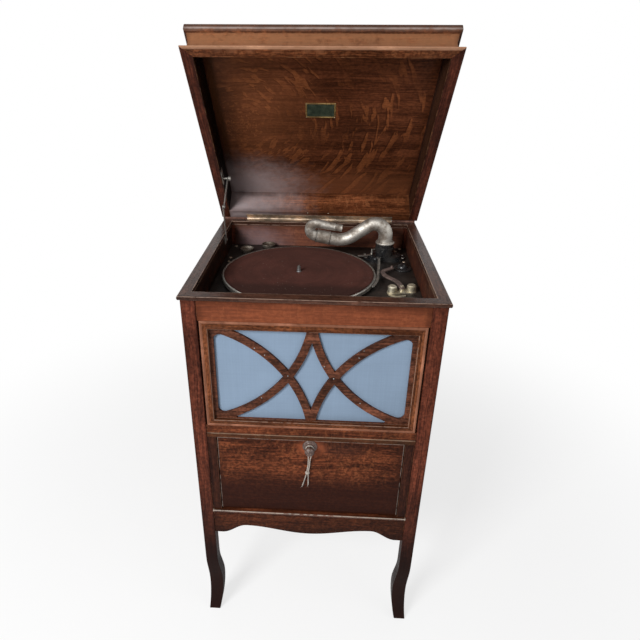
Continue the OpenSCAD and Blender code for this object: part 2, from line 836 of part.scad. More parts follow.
module board_screws() {
    color(brass) place() for (p = board_screw_places) translate([p[0], p[1], board_top])
        difference() {
            union() {
                cylinder(r = 2, h = 0.4);
                intersection() {
                    translate([0, 0, -2.6]) sphere(r = 4.6, $fn = 32);
                    cylinder(r = 4, h = 3);
                }
            }
            translate([0, 0, 1.9]) cube([10, 0.8, 1.4], center = true);
        }
}

module speed_dial() {
    color(black) place() translate([dial_at[0], dial_at[1], board_top + seat]) {
        rotate_extrude() polygon(concat([[0, 0], [dial_r, 0], [dial_r, 2.2], [dial_r - 1.5, 3.4],
            [0.62 * dial_r, 4.2]], [for (a = [0:10:90]) [0.6 * dial_r * cos(a),
            4.6 + (dial_h - 4.6) * sin(a)]]));
    }
}

// Base plate with two pillars and a pivot for the lever
module brake_base() {
    color(brass) place() translate([0, 0, board_top]) {
        strip([pillar_places[0], brake_pivot, pillar_places[1]], 2 * pillar_r + 3, 2.5);
        for (p = pillar_places) translate([p[0], p[1], 0]) {
            turned([[0, pillar_h - 2, pillar_r]]);
            translate([0, 0, pillar_h - 2]) cylinder(r1 = pillar_r, r2 = pillar_r - 2, h = 2);
        }
        translate([brake_pivot[0], brake_pivot[1], 0])
            turned([[0, 8 - seat, 3.6], [8 - seat, 11 + seat, 2], [11 + seat, 13.2, 3.6]]);
        strip(curve([pillar_places[0] + [-6, 2], [140, -76], [152, -84], [168, -80]], 4), 5, 1.6);
    }
}

// Flat lever bent like an S, with a small finger stud at its free end
brake_route = [[164.3, -60], [158, -32], [141, -8], [134, 12], [140, 25], [155, 39]];
lever_t = 3;
lever_wide = 9;

module brake_lever() {
    color([0.24, 0.20, 0.18]) place() translate([0, 0, board_top + 8]) difference() {
        union() {
            strip(curve(brake_route, 4), lever_wide, lever_t);
            translate([155, 39, 0.5]) cylinder(r = 2.6, h = 6);
            translate([brake_pivot[0], brake_pivot[1], 0]) cylinder(r = lever_wide / 2 + 1, h = lever_t);
        }
        translate([brake_pivot[0], brake_pivot[1], -1]) cylinder(r = 2 + run, h = 6);
    }
}

// Long nickel strip that follows the turntable's edge and brakes it
arm_z = platter_z - 1;
pad_from = -24;
pad_to = -3;
strip_in = platter_r + 1.2;
strip_wide = 5;

brake_arc = [for (a = [pad_from:3:pad_to]) hub + (strip_in + strip_wide / 2) * [cos(a), sin(a)]];

module brake_arm() {
    color(nickel) place() translate([0, 0, arm_z]) difference() {
        union() {
            strip(concat(brake_arc, [arm_pivot_at - [5, 62], arm_pivot_at - [1.5, 32],
                arm_pivot_at]), strip_wide, 2);
            translate([arm_pivot_at[0], arm_pivot_at[1], 0]) cylinder(r = 5, h = 2);
        }
        translate([arm_pivot_at[0], arm_pivot_at[1], -1]) cylinder(r = 2 + run, h = 4);
    }
}

// ---- Tonearm ----

base_top = board_top + arm_base_h;
arm_foot = base_top + seat;
spigot_r = 15;
base_step_h = 9;

// Cast turret on a long foot, bored through into the throat, with the pivot of the brake arm
module tonearm_base() {
    color(black) place() difference() {
        union() {
            translate([0, 0, board_top]) {
                strip([[arm_x - 22, arm_y], [arm_x + 22, arm_y]], 48, 5);
                strip([[arm_x - 16, arm_y], [arm_x + 16, arm_y]], 41, base_step_h);
                strip([arm_pivot_at, [arm_x - 8, arm_y - 16]], 10, 5);
            }
            translate([arm_x, arm_y, board_top])
                turned([[0, arm_base_h - 12, spigot_r + 3.5], [arm_base_h - 12, arm_base_h - 8,
                    spigot_r + 5], [arm_base_h - 8, arm_base_h, spigot_r + 3.5]]);
            translate([arm_pivot_at[0], arm_pivot_at[1], 0]) turned([[board_top, arm_z - seat, 5],
                [arm_z - seat, arm_z + 2 + seat, 2], [arm_z + 2 + seat, arm_z + 4, 4]]);
        }
        translate([arm_x, arm_y, board_top - 1]) cylinder(r = spigot_r, h = case_h);
    }
}

// Bent feeler strip beside the turret
module trip_hook() {
    low = board_top + base_step_h + seat;
    high = base_top - 14;
    color(nickel) place() {
        translate([0, 0, high])
            strip([[arm_x - 27, arm_y - 4], [arm_x - spigot_r - 6, arm_y - 2]], 5, 2);
        translate([arm_x - 27, arm_y - 4, low + 1]) cylinder(r = 2.4, h = high - low);
        translate([0, 0, low]) strip(curve([[arm_x - 27, arm_y - 4], [arm_x - 38, arm_y - 12],
            [arm_x - 56, arm_y - 14]], 4), 5, 2);
    }
}

// The swan neck lies in one upright plane. Its centre line is an arch, a fall, a sweep and a level
// part; headings are in degrees from +x towards +z, and places are from the pivot at rim height.
fall_head = 215;
level_head = 180 - arm_slope;
flange_h = 4;
rise_l = 14;
c_arch = [-arch_r, arm_foot + flange_h + rise_l - case_h];
p_fall = c_arch + arch_r * [cos(fall_head - 90), sin(fall_head - 90)];
p_sweep = p_fall + fall_l * [cos(fall_head), sin(fall_head)];
c_sweep = p_sweep + sweep_r * [sin(fall_head), -cos(fall_head)];
p_level = c_sweep - sweep_r * [sin(level_head), -cos(level_head)];
p_collar = p_level + level_l * [cos(level_head), sin(level_head)];
collar_r = neck_r + 1.2;
bore_r = crook_r - 0.6;
crook_from = 2;                              // straight start of the crook before its bend

function on_plane(p) = [p[0], 0, p[1]];

neck_line = concat(
    [[0, arm_foot + 1 - case_h], [0, arm_foot + flange_h - case_h]],
    [for (a = [0:12.5:fall_head - 90]) c_arch + arch_r * [cos(a), sin(a)]],
    [for (k = [1:3]) p_fall + k / 3 * fall_l * [cos(fall_head), sin(fall_head)]],
    [for (a = [fall_head - 7.5:-7.5:level_head]) c_sweep - sweep_r * [sin(a), -cos(a)]],
    [for (k = [1:2]) p_level + k / 2 * (level_l - collar_l) * [cos(level_head), sin(level_head)]]);
neck_n = len(neck_line) - 1;
neck_path = [for (p = neck_line) on_plane(p)];

// The tube narrows evenly from the arch to the collar
neck_radii = [for (i = [0:neck_n]) arm_r + (neck_r - arm_r) * ease(min(1, i / neck_n * 1.15))];

// Rings of a round tube: side directions are square to the path and to y
function tube_ring(path, radii, i, sides) =
    let (d = heading(path, i), a = unit(cross(d, [0, 1, 0])), b = cross(a, d))
    [for (k = [0:sides - 1]) let (w = 360 * k / sides)
        path[i] + radii[i] * (cos(w) * a + sin(w) * b)];

// A solid tube of round section along a path, with a radius for each point
module tube(path, radii, sides) {
    n = len(path);
    polyhedron(points = [for (i = [0:n - 1]) each tube_ring(path, radii, i, sides)],
        faces = concat([[for (j = [sides - 1:-1:0]) j]],
            [[for (j = [0:sides - 1]) (n - 1) * sides + j]],
            [for (i = [0:n - 2], j = [0:sides - 1])
                each [[i * sides + j, i * sides + (j + 1) % sides, (i + 1) * sides + j],
                [i * sides + (j + 1) % sides, (i + 1) * sides + (j + 1) % sides,
                    (i + 1) * sides + j]]]));
}

module neck_place() {
    translate([arm_x, arm_y, case_h]) children();
}

module tonearm() {
    color(nickel) place() {
        neck_place() tube(neck_path, neck_radii, 28);
        translate([arm_x, arm_y, 0]) turned([[arm_foot - 8, arm_foot, spigot_r - run],
            [arm_foot, arm_foot + flange_h, spigot_r + 5]]);
    }
}

// Ferrule on the end of the arm, bored for the crook
module tonearm_collar() {
    color(nickel) place() neck_place() translate(on_plane(p_collar)) rotate([0, 90 - level_head, 0])
        difference() {
            turned([[-collar_l, -collar_l + 2, collar_r], [-collar_l + 2, -2, neck_r + 0.4],
                [-2, 0, collar_r]]);
            translate([0, 0, -collar_l + 1.5]) cylinder(r = bore_r, h = collar_l);
        }
}

// The crook turns in the ferrule: spigot, bend of half a turn, and the end for the sound box
crook_line = concat([[0, 0, seat], [0, 0, crook_from]],
    [for (a = [15:15:180]) [bend_r * (1 - cos(a)), 0, crook_from + bend_r * sin(a)]],
    [for (k = [1:2]) [2 * bend_r, 0, crook_from - k / 2 * return_l]]);
crook_n = len(crook_line) - 1;

// The crook narrows round its bend to a little more than its end
crook_radii = [for (i = [0:crook_n]) crook_r + (end_r + 0.8 - crook_r) * ease(min(1, i / crook_n))];

module tonearm_crook() {
    color(nickel) place() neck_place() translate(on_plane(p_collar)) rotate([0, 90 - level_head, 0])
        rotate([0, 0, -crook_lean]) difference() {
            union() {
                tube(crook_line, crook_radii, 24);
                translate([0, 0, -collar_l + 2.5]) cylinder(r = bore_r - run, h = collar_l - 1);
                translate([2 * bend_r, 0, crook_from - return_l - end_l])
                    cylinder(r = end_r, h = end_l + 3);
            }
            translate([2 * bend_r, 0, crook_from - return_l - end_l - 1])
                cylinder(r = end_r - 1.3, h = end_l + 12);
        }
}

// ---- Turntable ----

module platter() {
    color(nickel) place() translate([hub[0], hub[1], platter_z]) difference() {
        rotate_extrude($fn = 180) polygon([[0, 0], [platter_r - 4.5, 0], [platter_r - 4.2, 1],
            [platter_r - 3, 1.9], [platter_r - 1.4, 1.6], [platter_r - 0.3, 0.4], [platter_r, -1.6],
            [platter_r - 0.2, -rim_lip - 1], [platter_r - 2, -rim_lip - 1], [platter_r - 2.2, -2.6],
            [platter_r - 5, -disc_t + 1], [22, -disc_t + 1], [18, -disc_t], [0, -disc_t]]);
        translate([0, 0, -20]) cylinder(r = spindle_r, h = 40);
    }
}

module platter_felt() {
    color([0.28, 0.14, 0.12]) place() translate([hub[0], hub[1], platter_z]) difference() {
        cylinder(r = platter_r - 4.8, h = felt_t, $fn = 180);
        translate([0, 0, -1]) cylinder(r = spindle_r + 0.2, h = felt_t + 2);
    }
}

module spindle_bush() {
    color(brass) place() translate([hub[0], hub[1], 0]) difference() {
        union() {
            translate([0, 0, board_top - board_t - 3]) cylinder(r = spindle_r + 3, h = board_t + 3);
            translate([0, 0, board_top]) cylinder(r = spindle_r + 5, h = 1.4);
        }
        cylinder(r = spindle_r + run, h = case_h);
    }
}

// ---- Gears ----

// Outline of a gear: each tooth has its flanks given at root, pitch circle and tip
module gear_outline(teeth, m) {
    step = 360 / teeth;
    pitch_r = teeth * m / 2;
    flank = [[pitch_r - 1.2 * m, 0.30], [pitch_r, 0.215], [pitch_r + 0.85 * m, 0.11]];
    polygon([for (i = [0:teeth - 1]) each concat(
        [for (f = flank) f[0] * [cos(step * (i - f[1])), sin(step * (i - f[1]))]],
        [for (k = [2:-1:0]) flank[k][0] * [cos(step * (i + flank[k][1])),
            sin(step * (i + flank[k][1]))]])]);
}

// A gear with a tooth (phase 0) or a gap (phase 0.5) towards a heading
module gear(teeth, m, thick, head, phase) {
    rotate([0, 0, head + 360 / teeth * phase]) linear_extrude(thick) gear_outline(teeth, m);
}

module spindle() {
    head = atan2(speed_at[1] - hub[1], speed_at[0] - hub[0]);
    low = plate_low - plate_t + 0.5;
    color(steel) place() translate([hub[0], hub[1], 0]) {
        turned([[low, plate_low + 1, spindle_r - 1], [plate_low + 1, board_top + 1.9, spindle_r],
            [board_top + 1.9, platter_z - disc_t, 2 * spindle_r],
            [platter_z - disc_t, felt_z, spindle_r], [felt_z, felt_z + record_pin_h - 2,
            record_pin_r], [felt_z + record_pin_h - 2, felt_z + record_pin_h, 0.6 * record_pin_r]]);
        translate([0, 0, mid_wheel_z - 1.5]) gear(spindle_pinion_teeth, gear_m, 7, 0, 0.5);
        translate([0, 0, speed_wheel_z]) gear(speed_wheel_teeth, gear_m, 3, head, 0);
    }
}

module intermediate_wheel() {
    color(brass) place() translate([mid_at[0], mid_at[1], 0]) {
        arbor(2.5, 4);
        translate([0, 0, mid_wheel_z]) gear(mid_wheel_teeth, gear_m, 4, 180, 0);
        translate([0, 0, barrel_gear_z - 1.5]) gear(mid_pinion_teeth, gear_m, 7, 0, 0.5);
    }
}

// An upright arbor between the plates, with thinner ends that run in them
module arbor(end_r, mid_r) {
    turned([[plate_low - plate_t + 0.5, plate_low + 1, end_r],
        [plate_low + 1, plate_low + motor_h - 1, mid_r],
        [plate_low + motor_h - 1, plate_low + motor_h + plate_t - 0.5, end_r]]);
}

// Closed drum with its toothed flange; it turns on the arbor
module spring_barrel() {
    color(steel) place() translate([barrel_at[0], barrel_at[1], 0]) difference() {
        union() {
            translate([0, 0, barrel_gear_z]) gear(barrel_teeth, gear_m, 4, 180, 0);
            translate([0, 0, barrel_gear_z + 3]) cylinder(r = barrel_r, h = barrel_h);
        }
        translate([0, 0, barrel_gear_z - 1]) cylinder(r = 5 + run, h = case_h);
    }
}

// Arbor with the crown wheel that the winding pinion drives
module barrel_arbor() {
    color(steel) place() translate([barrel_at[0], barrel_at[1], 0]) {
        translate([0, 0, crown_z + 1]) cylinder(r = 5, h = plate_top + 3 - crown_z - 1);
        translate([0, 0, crown_z]) cylinder(r = crown_r + 4, h = 3);
        for (i = [0:crown_teeth - 1]) rotate([0, 0, 360 / crown_teeth * (i + 0.5)])
            translate([crown_r - 3, -rib_t / 2, crown_z - rib_h])
                cube([6, rib_t, rib_h + 0.5]);
    }
}

// Fly-weights on three bowed leaves, with the disc that the speed pad rubs on
module governor() {
    head = atan2(hub[1] - speed_at[1], hub[0] - speed_at[0]);
    low = plate_low + 38;
    color(brass) place() translate([speed_at[0], speed_at[1], 0]) {
        arbor(2, 2.8);
        translate([0, 0, speed_wheel_z - 1.5]) gear(speed_pinion_teeth, gear_m, 6, head, 0.5);
        for (z = [low, low + 20]) translate([0, 0, z]) cylinder(r = 6, h = 4);
        translate([0, 0, low + 27]) cylinder(r = 11, h = 1.5);
        for (a = [0, 120, 240]) rotate([0, 0, a]) {
            translate([5, -2.5, low + 1]) cube([9, 5, 0.8]);
            translate([5, -2.5, low + 22]) cube([9, 5, 0.8]);
            translate([13.2, -2.5, low + 1]) cube([0.8, 5, 21.8]);
            translate([8, 0, low + 11.9]) rotate([0, 90, 0]) cylinder(r = 4.6, h = 5.6);
        }
    }
}

plate_left = hub[0] - 46;
plate_right = barrel_at[0] + 54;
plate_front = hub[1] - 60;
plate_rear = hub[1] + 54;
plate_posts = [[plate_left + 9, plate_front + 9], [plate_left + 9, plate_rear - 9],
    [plate_right - 9, plate_front + 9], [plate_right - 9, plate_rear - 9]];
winder_lug_x = barrel_at[0] + crown_r + 12;

module motor_plate(z) {
    difference() {
        block([plate_left, plate_front, z], [plate_right, plate_rear, z + plate_t]);
        translate([barrel_at[0], barrel_at[1], z - 1]) cylinder(r = 5 + run, h = 3 * plate_t);
        translate([mid_at[0], mid_at[1], z - 1]) cylinder(r = 2.5 + run, h = 3 * plate_t);
        translate([speed_at[0], speed_at[1], z - 1]) cylinder(r = 2 + run, h = 3 * plate_t);
    }
}

// Two plates on four pillars, hung from the board by spacers, with a lug for the winding shaft
module motor_frame() {
    color([0.30, 0.31, 0.33]) place() {
        difference() {
            motor_plate(plate_top - plate_t);
            translate([hub[0], hub[1], 0]) cylinder(r = spindle_r + run, h = case_h);
        }
        difference() {
            union() {
                motor_plate(plate_low - plate_t);
                block([winder_lug_x, hub[1] - 9, winder_z - 9], [winder_lug_x + 8, hub[1] + 9,
                    plate_low - plate_t]);
            }
            translate([hub[0], hub[1], 0]) cylinder(r = spindle_r - 1 + run, h = case_h);
            translate([winder_lug_x - 1, hub[1], winder_z]) rotate([0, 90, 0])
                cylinder(r = winder_r + run, h = 10);
        }
        for (p = plate_posts) translate([p[0], p[1], 0]) {
            translate([0, 0, plate_low]) cylinder(r = 5, h = motor_h);
            translate([0, 0, plate_top]) cylinder(r = 6, h = spacer_h);
        }
    }
}

module winding_shaft() {
    tip = well_x - 6;
    start = barrel_at[0] + crown_r - 2.7;
    color(steel) place() translate([0, hub[1], winder_z]) {
        translate([start, 0, 0]) rotate([0, 90, 0]) cylinder(r = winder_r, h = tip - start);
        translate([start, 0, 0]) rotate([0, 90, 0]) gear(winder_teeth, crown_m, 5.4, 180, 0);
        translate([winder_lug_x - 2 - seat, 0, 0]) rotate([0, 90, 0])
            cylinder(r = winder_r + 2.5, h = 2);
        translate([winder_lug_x + 8 + seat, 0, 0]) rotate([0, 90, 0])
            cylinder(r = winder_r + 2.5, h = 2);
    }
}

// Brass plate and liner in the right side, for the winding handle
module winding_escutcheon() {
    color(brass) place() translate([well_x, -platter_front, winder_z]) rotate([0, 90, 0])
        difference() {
            union() {
                cylinder(r = winding_hole_r + 3, h = face_x - board_back - well_x);
                translate([0, 0, face_x - board_back - well_x])
                    cylinder(r1 = winding_hole_r + 9, r2 = winding_hole_r + 8, h = 1.6);
            }
            translate([0, 0, -1]) cylinder(r = winding_hole_r, h = 2 * post_s);
        }
}

// ---- Lid ----

// Places children that are drawn with the hinge axis as origin and the lid closed
module lid_place() {
    translate([0, axis_y, axis_z]) rotate([-lid_angle, 0, 0]) children();
}

// Outer profile of the moulded rails: lip, cove and bead. y grows inwards, z grows up.
module lid_profile() {
    cove_top = lid_h - bead_h;
    polygon(concat([[0.6, 0], [0, 0.8], [0, lip_h - 0.8], [0.8, lip_h]],
        [[shadow_in - 2, lip_h + 0.6]],
        [for (i = [0:12]) let (t = i / 12)
            [shadow_in + (cove_in - shadow_in) * ease(min(1, 2 * t))
                - (cove_in - 6.6) * ease(max(0, 2 * t - 1)), lip_h + 1.5 + (cove_top - lip_h - 1.5) * t]],
        [for (a = [0:15:90]) [1.2 + 5 - 5 * sin(a), cove_top + 0.6 + 5 - 5 * cos(a)]],
        [[1.2, lid_h - 2.5], [1.9, lid_h - 0.8], [3.4, lid_h], [lid_wall, lid_h], [lid_wall, 0]]));
}

module lid_rails(which) {
    deep = 2 * lid_front;
    for (i = which) intersection() {
        translate([0, -lid_back, lid_under]) rotate([0, 0, 90 * i])
            translate([0, -(i % 2 == 0 ? deep : 2 * lid_x) / 2, 0])
                mitred_bar(i % 2 == 0 ? 2 * lid_x : deep, lid_wall, lid_h) lid_profile();
        block([-case_w, -case_d - 2 * lid_over - lid_back, -1], [case_w, -lid_back, 2 * lid_h]);
    }
}

module lid_front_rail() {
    color(oak) place() lid_place() lid_rails([0]);
}

module lid_side_rails() {
    color(oak) place() lid_place() lid_rails([1, 3]);
}

module lid_back_rail() {
    half = lid_x - lid_wall;
    color(oak) place() lid_place() difference() {
        block([-half, -lid_back - lid_back_t, lid_under], [half, -lid_back, lid_under + lid_h]);
        block([-hinge_l / 2 - seat, -lid_back - leaf_w - seat, lid_under - 1],
            [hinge_l / 2 + seat, -lid_back + 1, lid_under + leaf_t]);
    }
}

// Top panel with a bevelled edge, laid on the rails
module lid_panel() {
    half = lid_x - lid_panel_in;
    long = lid_front - lid_panel_in;
    color(oak) place() lid_place() translate([0, -panel_back, lid_under + lid_h])
        intersection() {
            translate([0, -(long - 4) / 2, lid_panel_t / 2])
                cube([2 * half, long - 4, lid_panel_t], center = true);
            rotate([90, 0, 0]) translate([0, 0, -1]) linear_extrude(long + 2) polygon([[-half, 0],
                [half, 0], [half, lid_panel_t - 3], [half - 6, lid_panel_t], [-half + 6, lid_panel_t],
                [-half, lid_panel_t - 3]]);
            rotate([90, 0, 90]) linear_extrude(3 * half, center = true) polygon([[0, 0],
                [0, lid_panel_t], [-long + 10, lid_panel_t], [-long + 4, lid_panel_t - 3],
                [-long + 4, 0]]);
        }
}

// Small bare plaque with a raised border, under the panel
plaque_mid = lid_front * 0.6;

module lid_plaque() {
    color([0.55, 0.45, 0.22]) place() lid_place()
        translate([0, -lid_back - plaque_mid, lid_under + lid_h - plaque_t]) difference() {
            translate([0, 0, plaque_t / 2]) cube([plaque_l, plaque_h, plaque_t], center = true);
            translate([0, 0, -plaque_t / 2]) cube([plaque_l - 6, plaque_h - 6, plaque_t + 0.2],
                center = true);
        }
}

// ---- Lid hinge ----

knuckle_l = hinge_l / knuckle_n;

// Knuckles number k = first, first + 2, ... with the web that joins them to their leaf
module knuckles(first, web_z) {
    difference() {
        union() {
            for (k = [first:2:knuckle_n - 1])
                translate([-hinge_l / 2 + k * knuckle_l + 0.15, 0, 0]) {
                    rotate([0, 90, 0]) cylinder(r = knuckle_r, h = knuckle_l - 0.3, $fn = 32);
                    translate([0, -lid_back - 1, web_z]) cube([knuckle_l - 0.3, lid_back + 1, leaf_t]);
                }
        }
        translate([-hinge_l, 0, 0]) rotate([0, 90, 0]) cylinder(r = hinge_pin_r + run, h = 2 * hinge_l,
            $fn = 32);
    }
}

module hinge_case_leaf() {
    web_z = -lid_gap / 2 - leaf_t;
    color(brass) place() translate([0, axis_y, axis_z]) {
        block([-hinge_l / 2, -lid_back - leaf_w, web_z], [hinge_l / 2, -lid_back - 0.4,
            web_z + leaf_t]);
        knuckles(0, web_z);
    }
}

module hinge_lid_leaf() {
    color(brass) place() lid_place() {
        block([-hinge_l / 2, -lid_back - leaf_w, lid_under], [hinge_l / 2, -lid_back - 0.4,
            lid_under + leaf_t]);
        knuckles(1, lid_under);
    }
}

module hinge_pin() {
    color(brass) place() translate([-hinge_l / 2, axis_y, axis_z]) rotate([0, 90, 0])
        cylinder(r = hinge_pin_r, h = hinge_l, $fn = 32);
}

// ---- Lid stay ----

// Turns drawings in (forward, up) into the plane of the stay, with x as its thickness
module stay_plane(x) {
    translate([x, axis_y, axis_z]) rotate([0, 0, -90]) rotate([90, 0, 0]) children();
}

// A link between two points of the stay plane with a round eye at each end
module link(a, b, hole_a, hole_b, wide_a, wide_b) {
    d = b - a;
    difference() {
        union() {
            translate([a[0], a[1], -link_t]) cylinder(r = wide_a / 2, h = link_t);
            translate([b[0], b[1], -link_t]) cylinder(r = wide_b / 2, h = link_t);
            translate([a[0], a[1], -link_t]) rotate([0, 0, atan2(d[1], d[0])]) linear_extrude(link_t)
                polygon([[0, -wide_a / 2], [norm(d), -wide_b / 2], [norm(d), wide_b / 2],
                    [0, wide_a / 2]]);
        }
        translate([a[0], a[1], -2 * link_t]) cylinder(r = hole_a, h = 3 * link_t);
        translate([b[0], b[1], -2 * link_t]) cylinder(r = hole_b, h = 3 * link_t);
    }
}

// Plate on the side of the well, with the lower rivet
module stay_foot() {
    color(nickel) place() stay_plane(-well_x) {
        translate([stay_foot_at[0] - 7, stay_foot_at[1] - 9, -foot_plate]) cube([14, 18, foot_plate]);
        translate([stay_foot_at[0], stay_foot_at[1], -foot_plate - link_t - 2 * seat])
            cylinder(r = rivet_r, h = link_t + 2 * seat + 0.5);
        translate([stay_foot_at[0], stay_foot_at[1], -foot_plate - link_t - 2 * seat - 0.8])
            cylinder(r = rivet_r + 1, h = 0.8);
    }
}

// Lower link, tapered to its foot, with the rivet of the elbow
module stay_lower() {
    color(nickel) place() stay_plane(lower_x) {
        link(stay_foot_at, stay_elbow_at, rivet_r + run, eps, 0.8 * link_w, link_w);
        translate([stay_elbow_at[0], stay_elbow_at[1], -2 * link_t - 2 * seat])
            cylinder(r = rivet_r, h = 2 * link_t + 2 * seat);
        translate([stay_elbow_at[0], stay_elbow_at[1], -2 * link_t - 2 * seat - 0.8])
            cylinder(r = rivet_r + 1.5, h = 0.8);
    }
}

// Upper link with the clamping screw that runs in the lid's slot
module stay_upper() {
    reach = lid_in_x - well_x + foot_plate + link_t + 2 * seat;
    color(nickel) place() stay_plane(upper_x) {
        link(stay_elbow_at, pin_at, rivet_r + run, eps, 0.8 * link_w, 0.8 * link_w);
        translate([pin_at[0], pin_at[1], -link_t]) cylinder(r = rivet_r, h = link_t + reach - seat);
        translate([pin_at[0], pin_at[1], -link_t - 1]) cylinder(r = 3.5, h = 1);
        translate([pin_at[0], pin_at[1], -link_t - 6]) cylinder(r = 5, h = 5);
    }
}

// Plate on the lid's side rail with the slot for that screw
module stay_slot_plate() {
    slot_z = slot_at[1];
    color(nickel) place() lid_place() translate([-lid_in_x, 0, 0]) rotate([0, 0, -90])
        rotate([90, 0, 0]) mirror([0, 0, 1]) difference() {
            translate([slot_min - 12, slot_z - 6.5, 0])
                cube([slot_max - slot_min + 24, 13, foot_plate]);
            for (t = [slot_min, slot_max]) translate([t, slot_z, -1])
                cylinder(r = rivet_r + 0.4, h = 2 * foot_plate + 2);
            translate([slot_min, slot_z - rivet_r - 0.4, -1])
                cube([slot_max - slot_min, 2 * rivet_r + 0.8, 2 * foot_plate + 2]);
        }
}

// ---- Flap ----

flap_half = flap_x - flap_gap;
flap_low = flap_bottom + flap_gap;
flap_high = flap_top - flap_gap - 0.5;

// Fall front with a rounded lower front edge, hung on two pins
module flap() {
    color(oak) place() difference() {
        union() {
            block([-flap_half, -flap_face + flap_hinge_r, flap_low],
                [flap_half, -flap_face + flap_t, flap_high]);
            block([-flap_half, -flap_face, flap_low + flap_hinge_r],
                [flap_half, -flap_face + flap_t, flap_high]);
            translate([-flap_half, -flap_face + flap_hinge_r, flap_low + flap_hinge_r])
                rotate([0, 90, 0]) cylinder(r = flap_hinge_r, h = 2 * flap_half);
        }
        for (s = [-1, 1]) translate([s * flap_x, -flap_face + flap_hinge_r, flap_low + flap_hinge_r])
            rotate([0, 90, 0]) cylinder(r = flap_pin_r + run, h = flap_pin_l + 1, center = true);
    }
}

module flap_pivots() {
    color(steel) place() for (s = [-1, 1])
        translate([s * flap_x, -flap_face + flap_hinge_r, flap_low + flap_hinge_r])
            rotate([0, 90, 0]) cylinder(r = flap_pin_r, h = flap_pin_l, center = true);
}

// Turned knob: moulded base, neck, and head with a turned ring on its face
module flap_knob() {
    color(oak_dark) place() translate([0, -flap_face, knob_z]) rotate([90, 0, 0])
        rotate_extrude() polygon(concat([[0, 0], [knob_base_r, 0], [knob_base_r, 1.2],
            [knob_base_r - 1.2, 2.6], [knob_base_r - 3.6, 3.2], [knob_base_r - 4.2, 4.2]],
            [for (a = [0:15:90]) [knob_neck_r + (knob_base_r - 4.6 - knob_neck_r) * (1 - sin(a)),
                4.6 + 3.4 * (1 - cos(a)) * 1.2]],
            [[knob_neck_r, 11]],
            [for (a = [-60:15:60]) [knob_head_r - 3 + 3 * cos(a), 0.68 * knob_l + 4 * sin(a)]],
            [[knob_head_r - 3.2, knob_l - 2.2], [knob_head_r - 4.2, knob_l - 2.4],
                [knob_head_r - 5, knob_l - 0.8], [0, knob_l]]));
}

// Brass ball catch let into the mid rail above the flap
module flap_catch() {
    color(brass) place() translate([0, -flap_face + flap_t / 2, flap_top]) {
        translate([0, 0, -0.5]) cylinder(r = 4, h = 0.5);
    }
}

// ---- String on the knob ----

function route_point(p) = [p[0], -flap_face - p[1], knob_z + p[2]];
string_path = [for (p = string_route) route_point(p)];

module knob_string() {
    color([0.80, 0.76, 0.68]) place() {
        tube(string_path, [for (p = string_path) string_r], 8);
        translate(route_point([-3.6, 4.8, -61])) rotate([0, 90, 0])
            cylinder(r = 2.4, h = 4.6, center = true, $fn = 16);
    }
}

front_posts();
back_posts();
rim();
front_rails();
flap_stiles();
ledge_bead();
front_apron();
left_panel();
right_panel();
back_panel();
back_rail();
bottom_board();
horn_shelf();
grille_frame();
grille_moulding();
fret();
grille_cloth();
horn();
horn_throat();
board_bearers();
motor_board();
lid_front_rail();
lid_side_rails();
lid_back_rail();
lid_panel();
lid_plaque();
hinge_case_leaf();
hinge_lid_leaf();
hinge_pin();
stay_foot();
stay_lower();
stay_upper();
stay_slot_plate();
flap();
flap_knob();
flap_pivots();
flap_catch();
knob_string();
platter();
platter_felt();
spindle();
spindle_bush();
tonearm_base();
tonearm();
tonearm_collar();
tonearm_crook();
trip_hook();
brake_arm();
brake_base();
brake_lever();
speed_dial();
needle_cups();
board_screws();
motor_frame();
spring_barrel();
barrel_arbor();
intermediate_wheel();
governor();
winding_shaft();
winding_escutcheon();
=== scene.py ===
"""Finishes and fine pieces of a floor-standing gramophone cabinet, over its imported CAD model."""
import json
import math

import bmesh
import bpy
import numpy as np
from mathutils import Euler, Matrix, Vector


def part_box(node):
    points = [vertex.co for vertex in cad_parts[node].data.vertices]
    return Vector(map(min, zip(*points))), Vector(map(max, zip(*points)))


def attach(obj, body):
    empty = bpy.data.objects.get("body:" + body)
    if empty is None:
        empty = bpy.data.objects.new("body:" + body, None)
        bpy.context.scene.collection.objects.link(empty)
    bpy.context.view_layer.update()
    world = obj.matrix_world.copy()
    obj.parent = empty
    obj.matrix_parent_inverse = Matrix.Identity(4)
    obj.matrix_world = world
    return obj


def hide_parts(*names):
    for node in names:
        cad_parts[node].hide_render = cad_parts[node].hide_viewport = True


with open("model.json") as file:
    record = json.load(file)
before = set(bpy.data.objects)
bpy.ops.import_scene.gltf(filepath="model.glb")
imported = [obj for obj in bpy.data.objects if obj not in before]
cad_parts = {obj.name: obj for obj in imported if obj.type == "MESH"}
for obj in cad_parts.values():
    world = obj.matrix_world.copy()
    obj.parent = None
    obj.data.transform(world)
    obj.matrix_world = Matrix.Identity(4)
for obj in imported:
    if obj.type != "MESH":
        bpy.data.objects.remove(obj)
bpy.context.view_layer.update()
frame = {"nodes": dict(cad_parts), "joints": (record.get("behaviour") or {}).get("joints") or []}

bl_info = {
    "name": "Gramophone Cabinet",
    "version": (1, 0, 0),
    "blender": (4, 5, 0),
    "location": "View3D > Sidebar > Gramophone",
    "description": "Oak, nickel, brass, cloth and felt for a wind-up gramophone cabinet",
    "category": "Object",
}

MM = 0.001
# Points nearer than this are one point
WELD = 2e-6


# ---- Places taken from the frame ----

def low(node):
    return np.array(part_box(node)[0])


def high(node):
    return np.array(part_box(node)[1])


def middle(node):
    return (low(node) + high(node)) / 2


def joint(name):
    return next(j for j in frame["joints"] if j["name"] == name)


HINGE = np.array(joint("lid_open")["pos_m"])
LID_ANGLE = math.radians(joint("lid_open")["range_deg"][1])
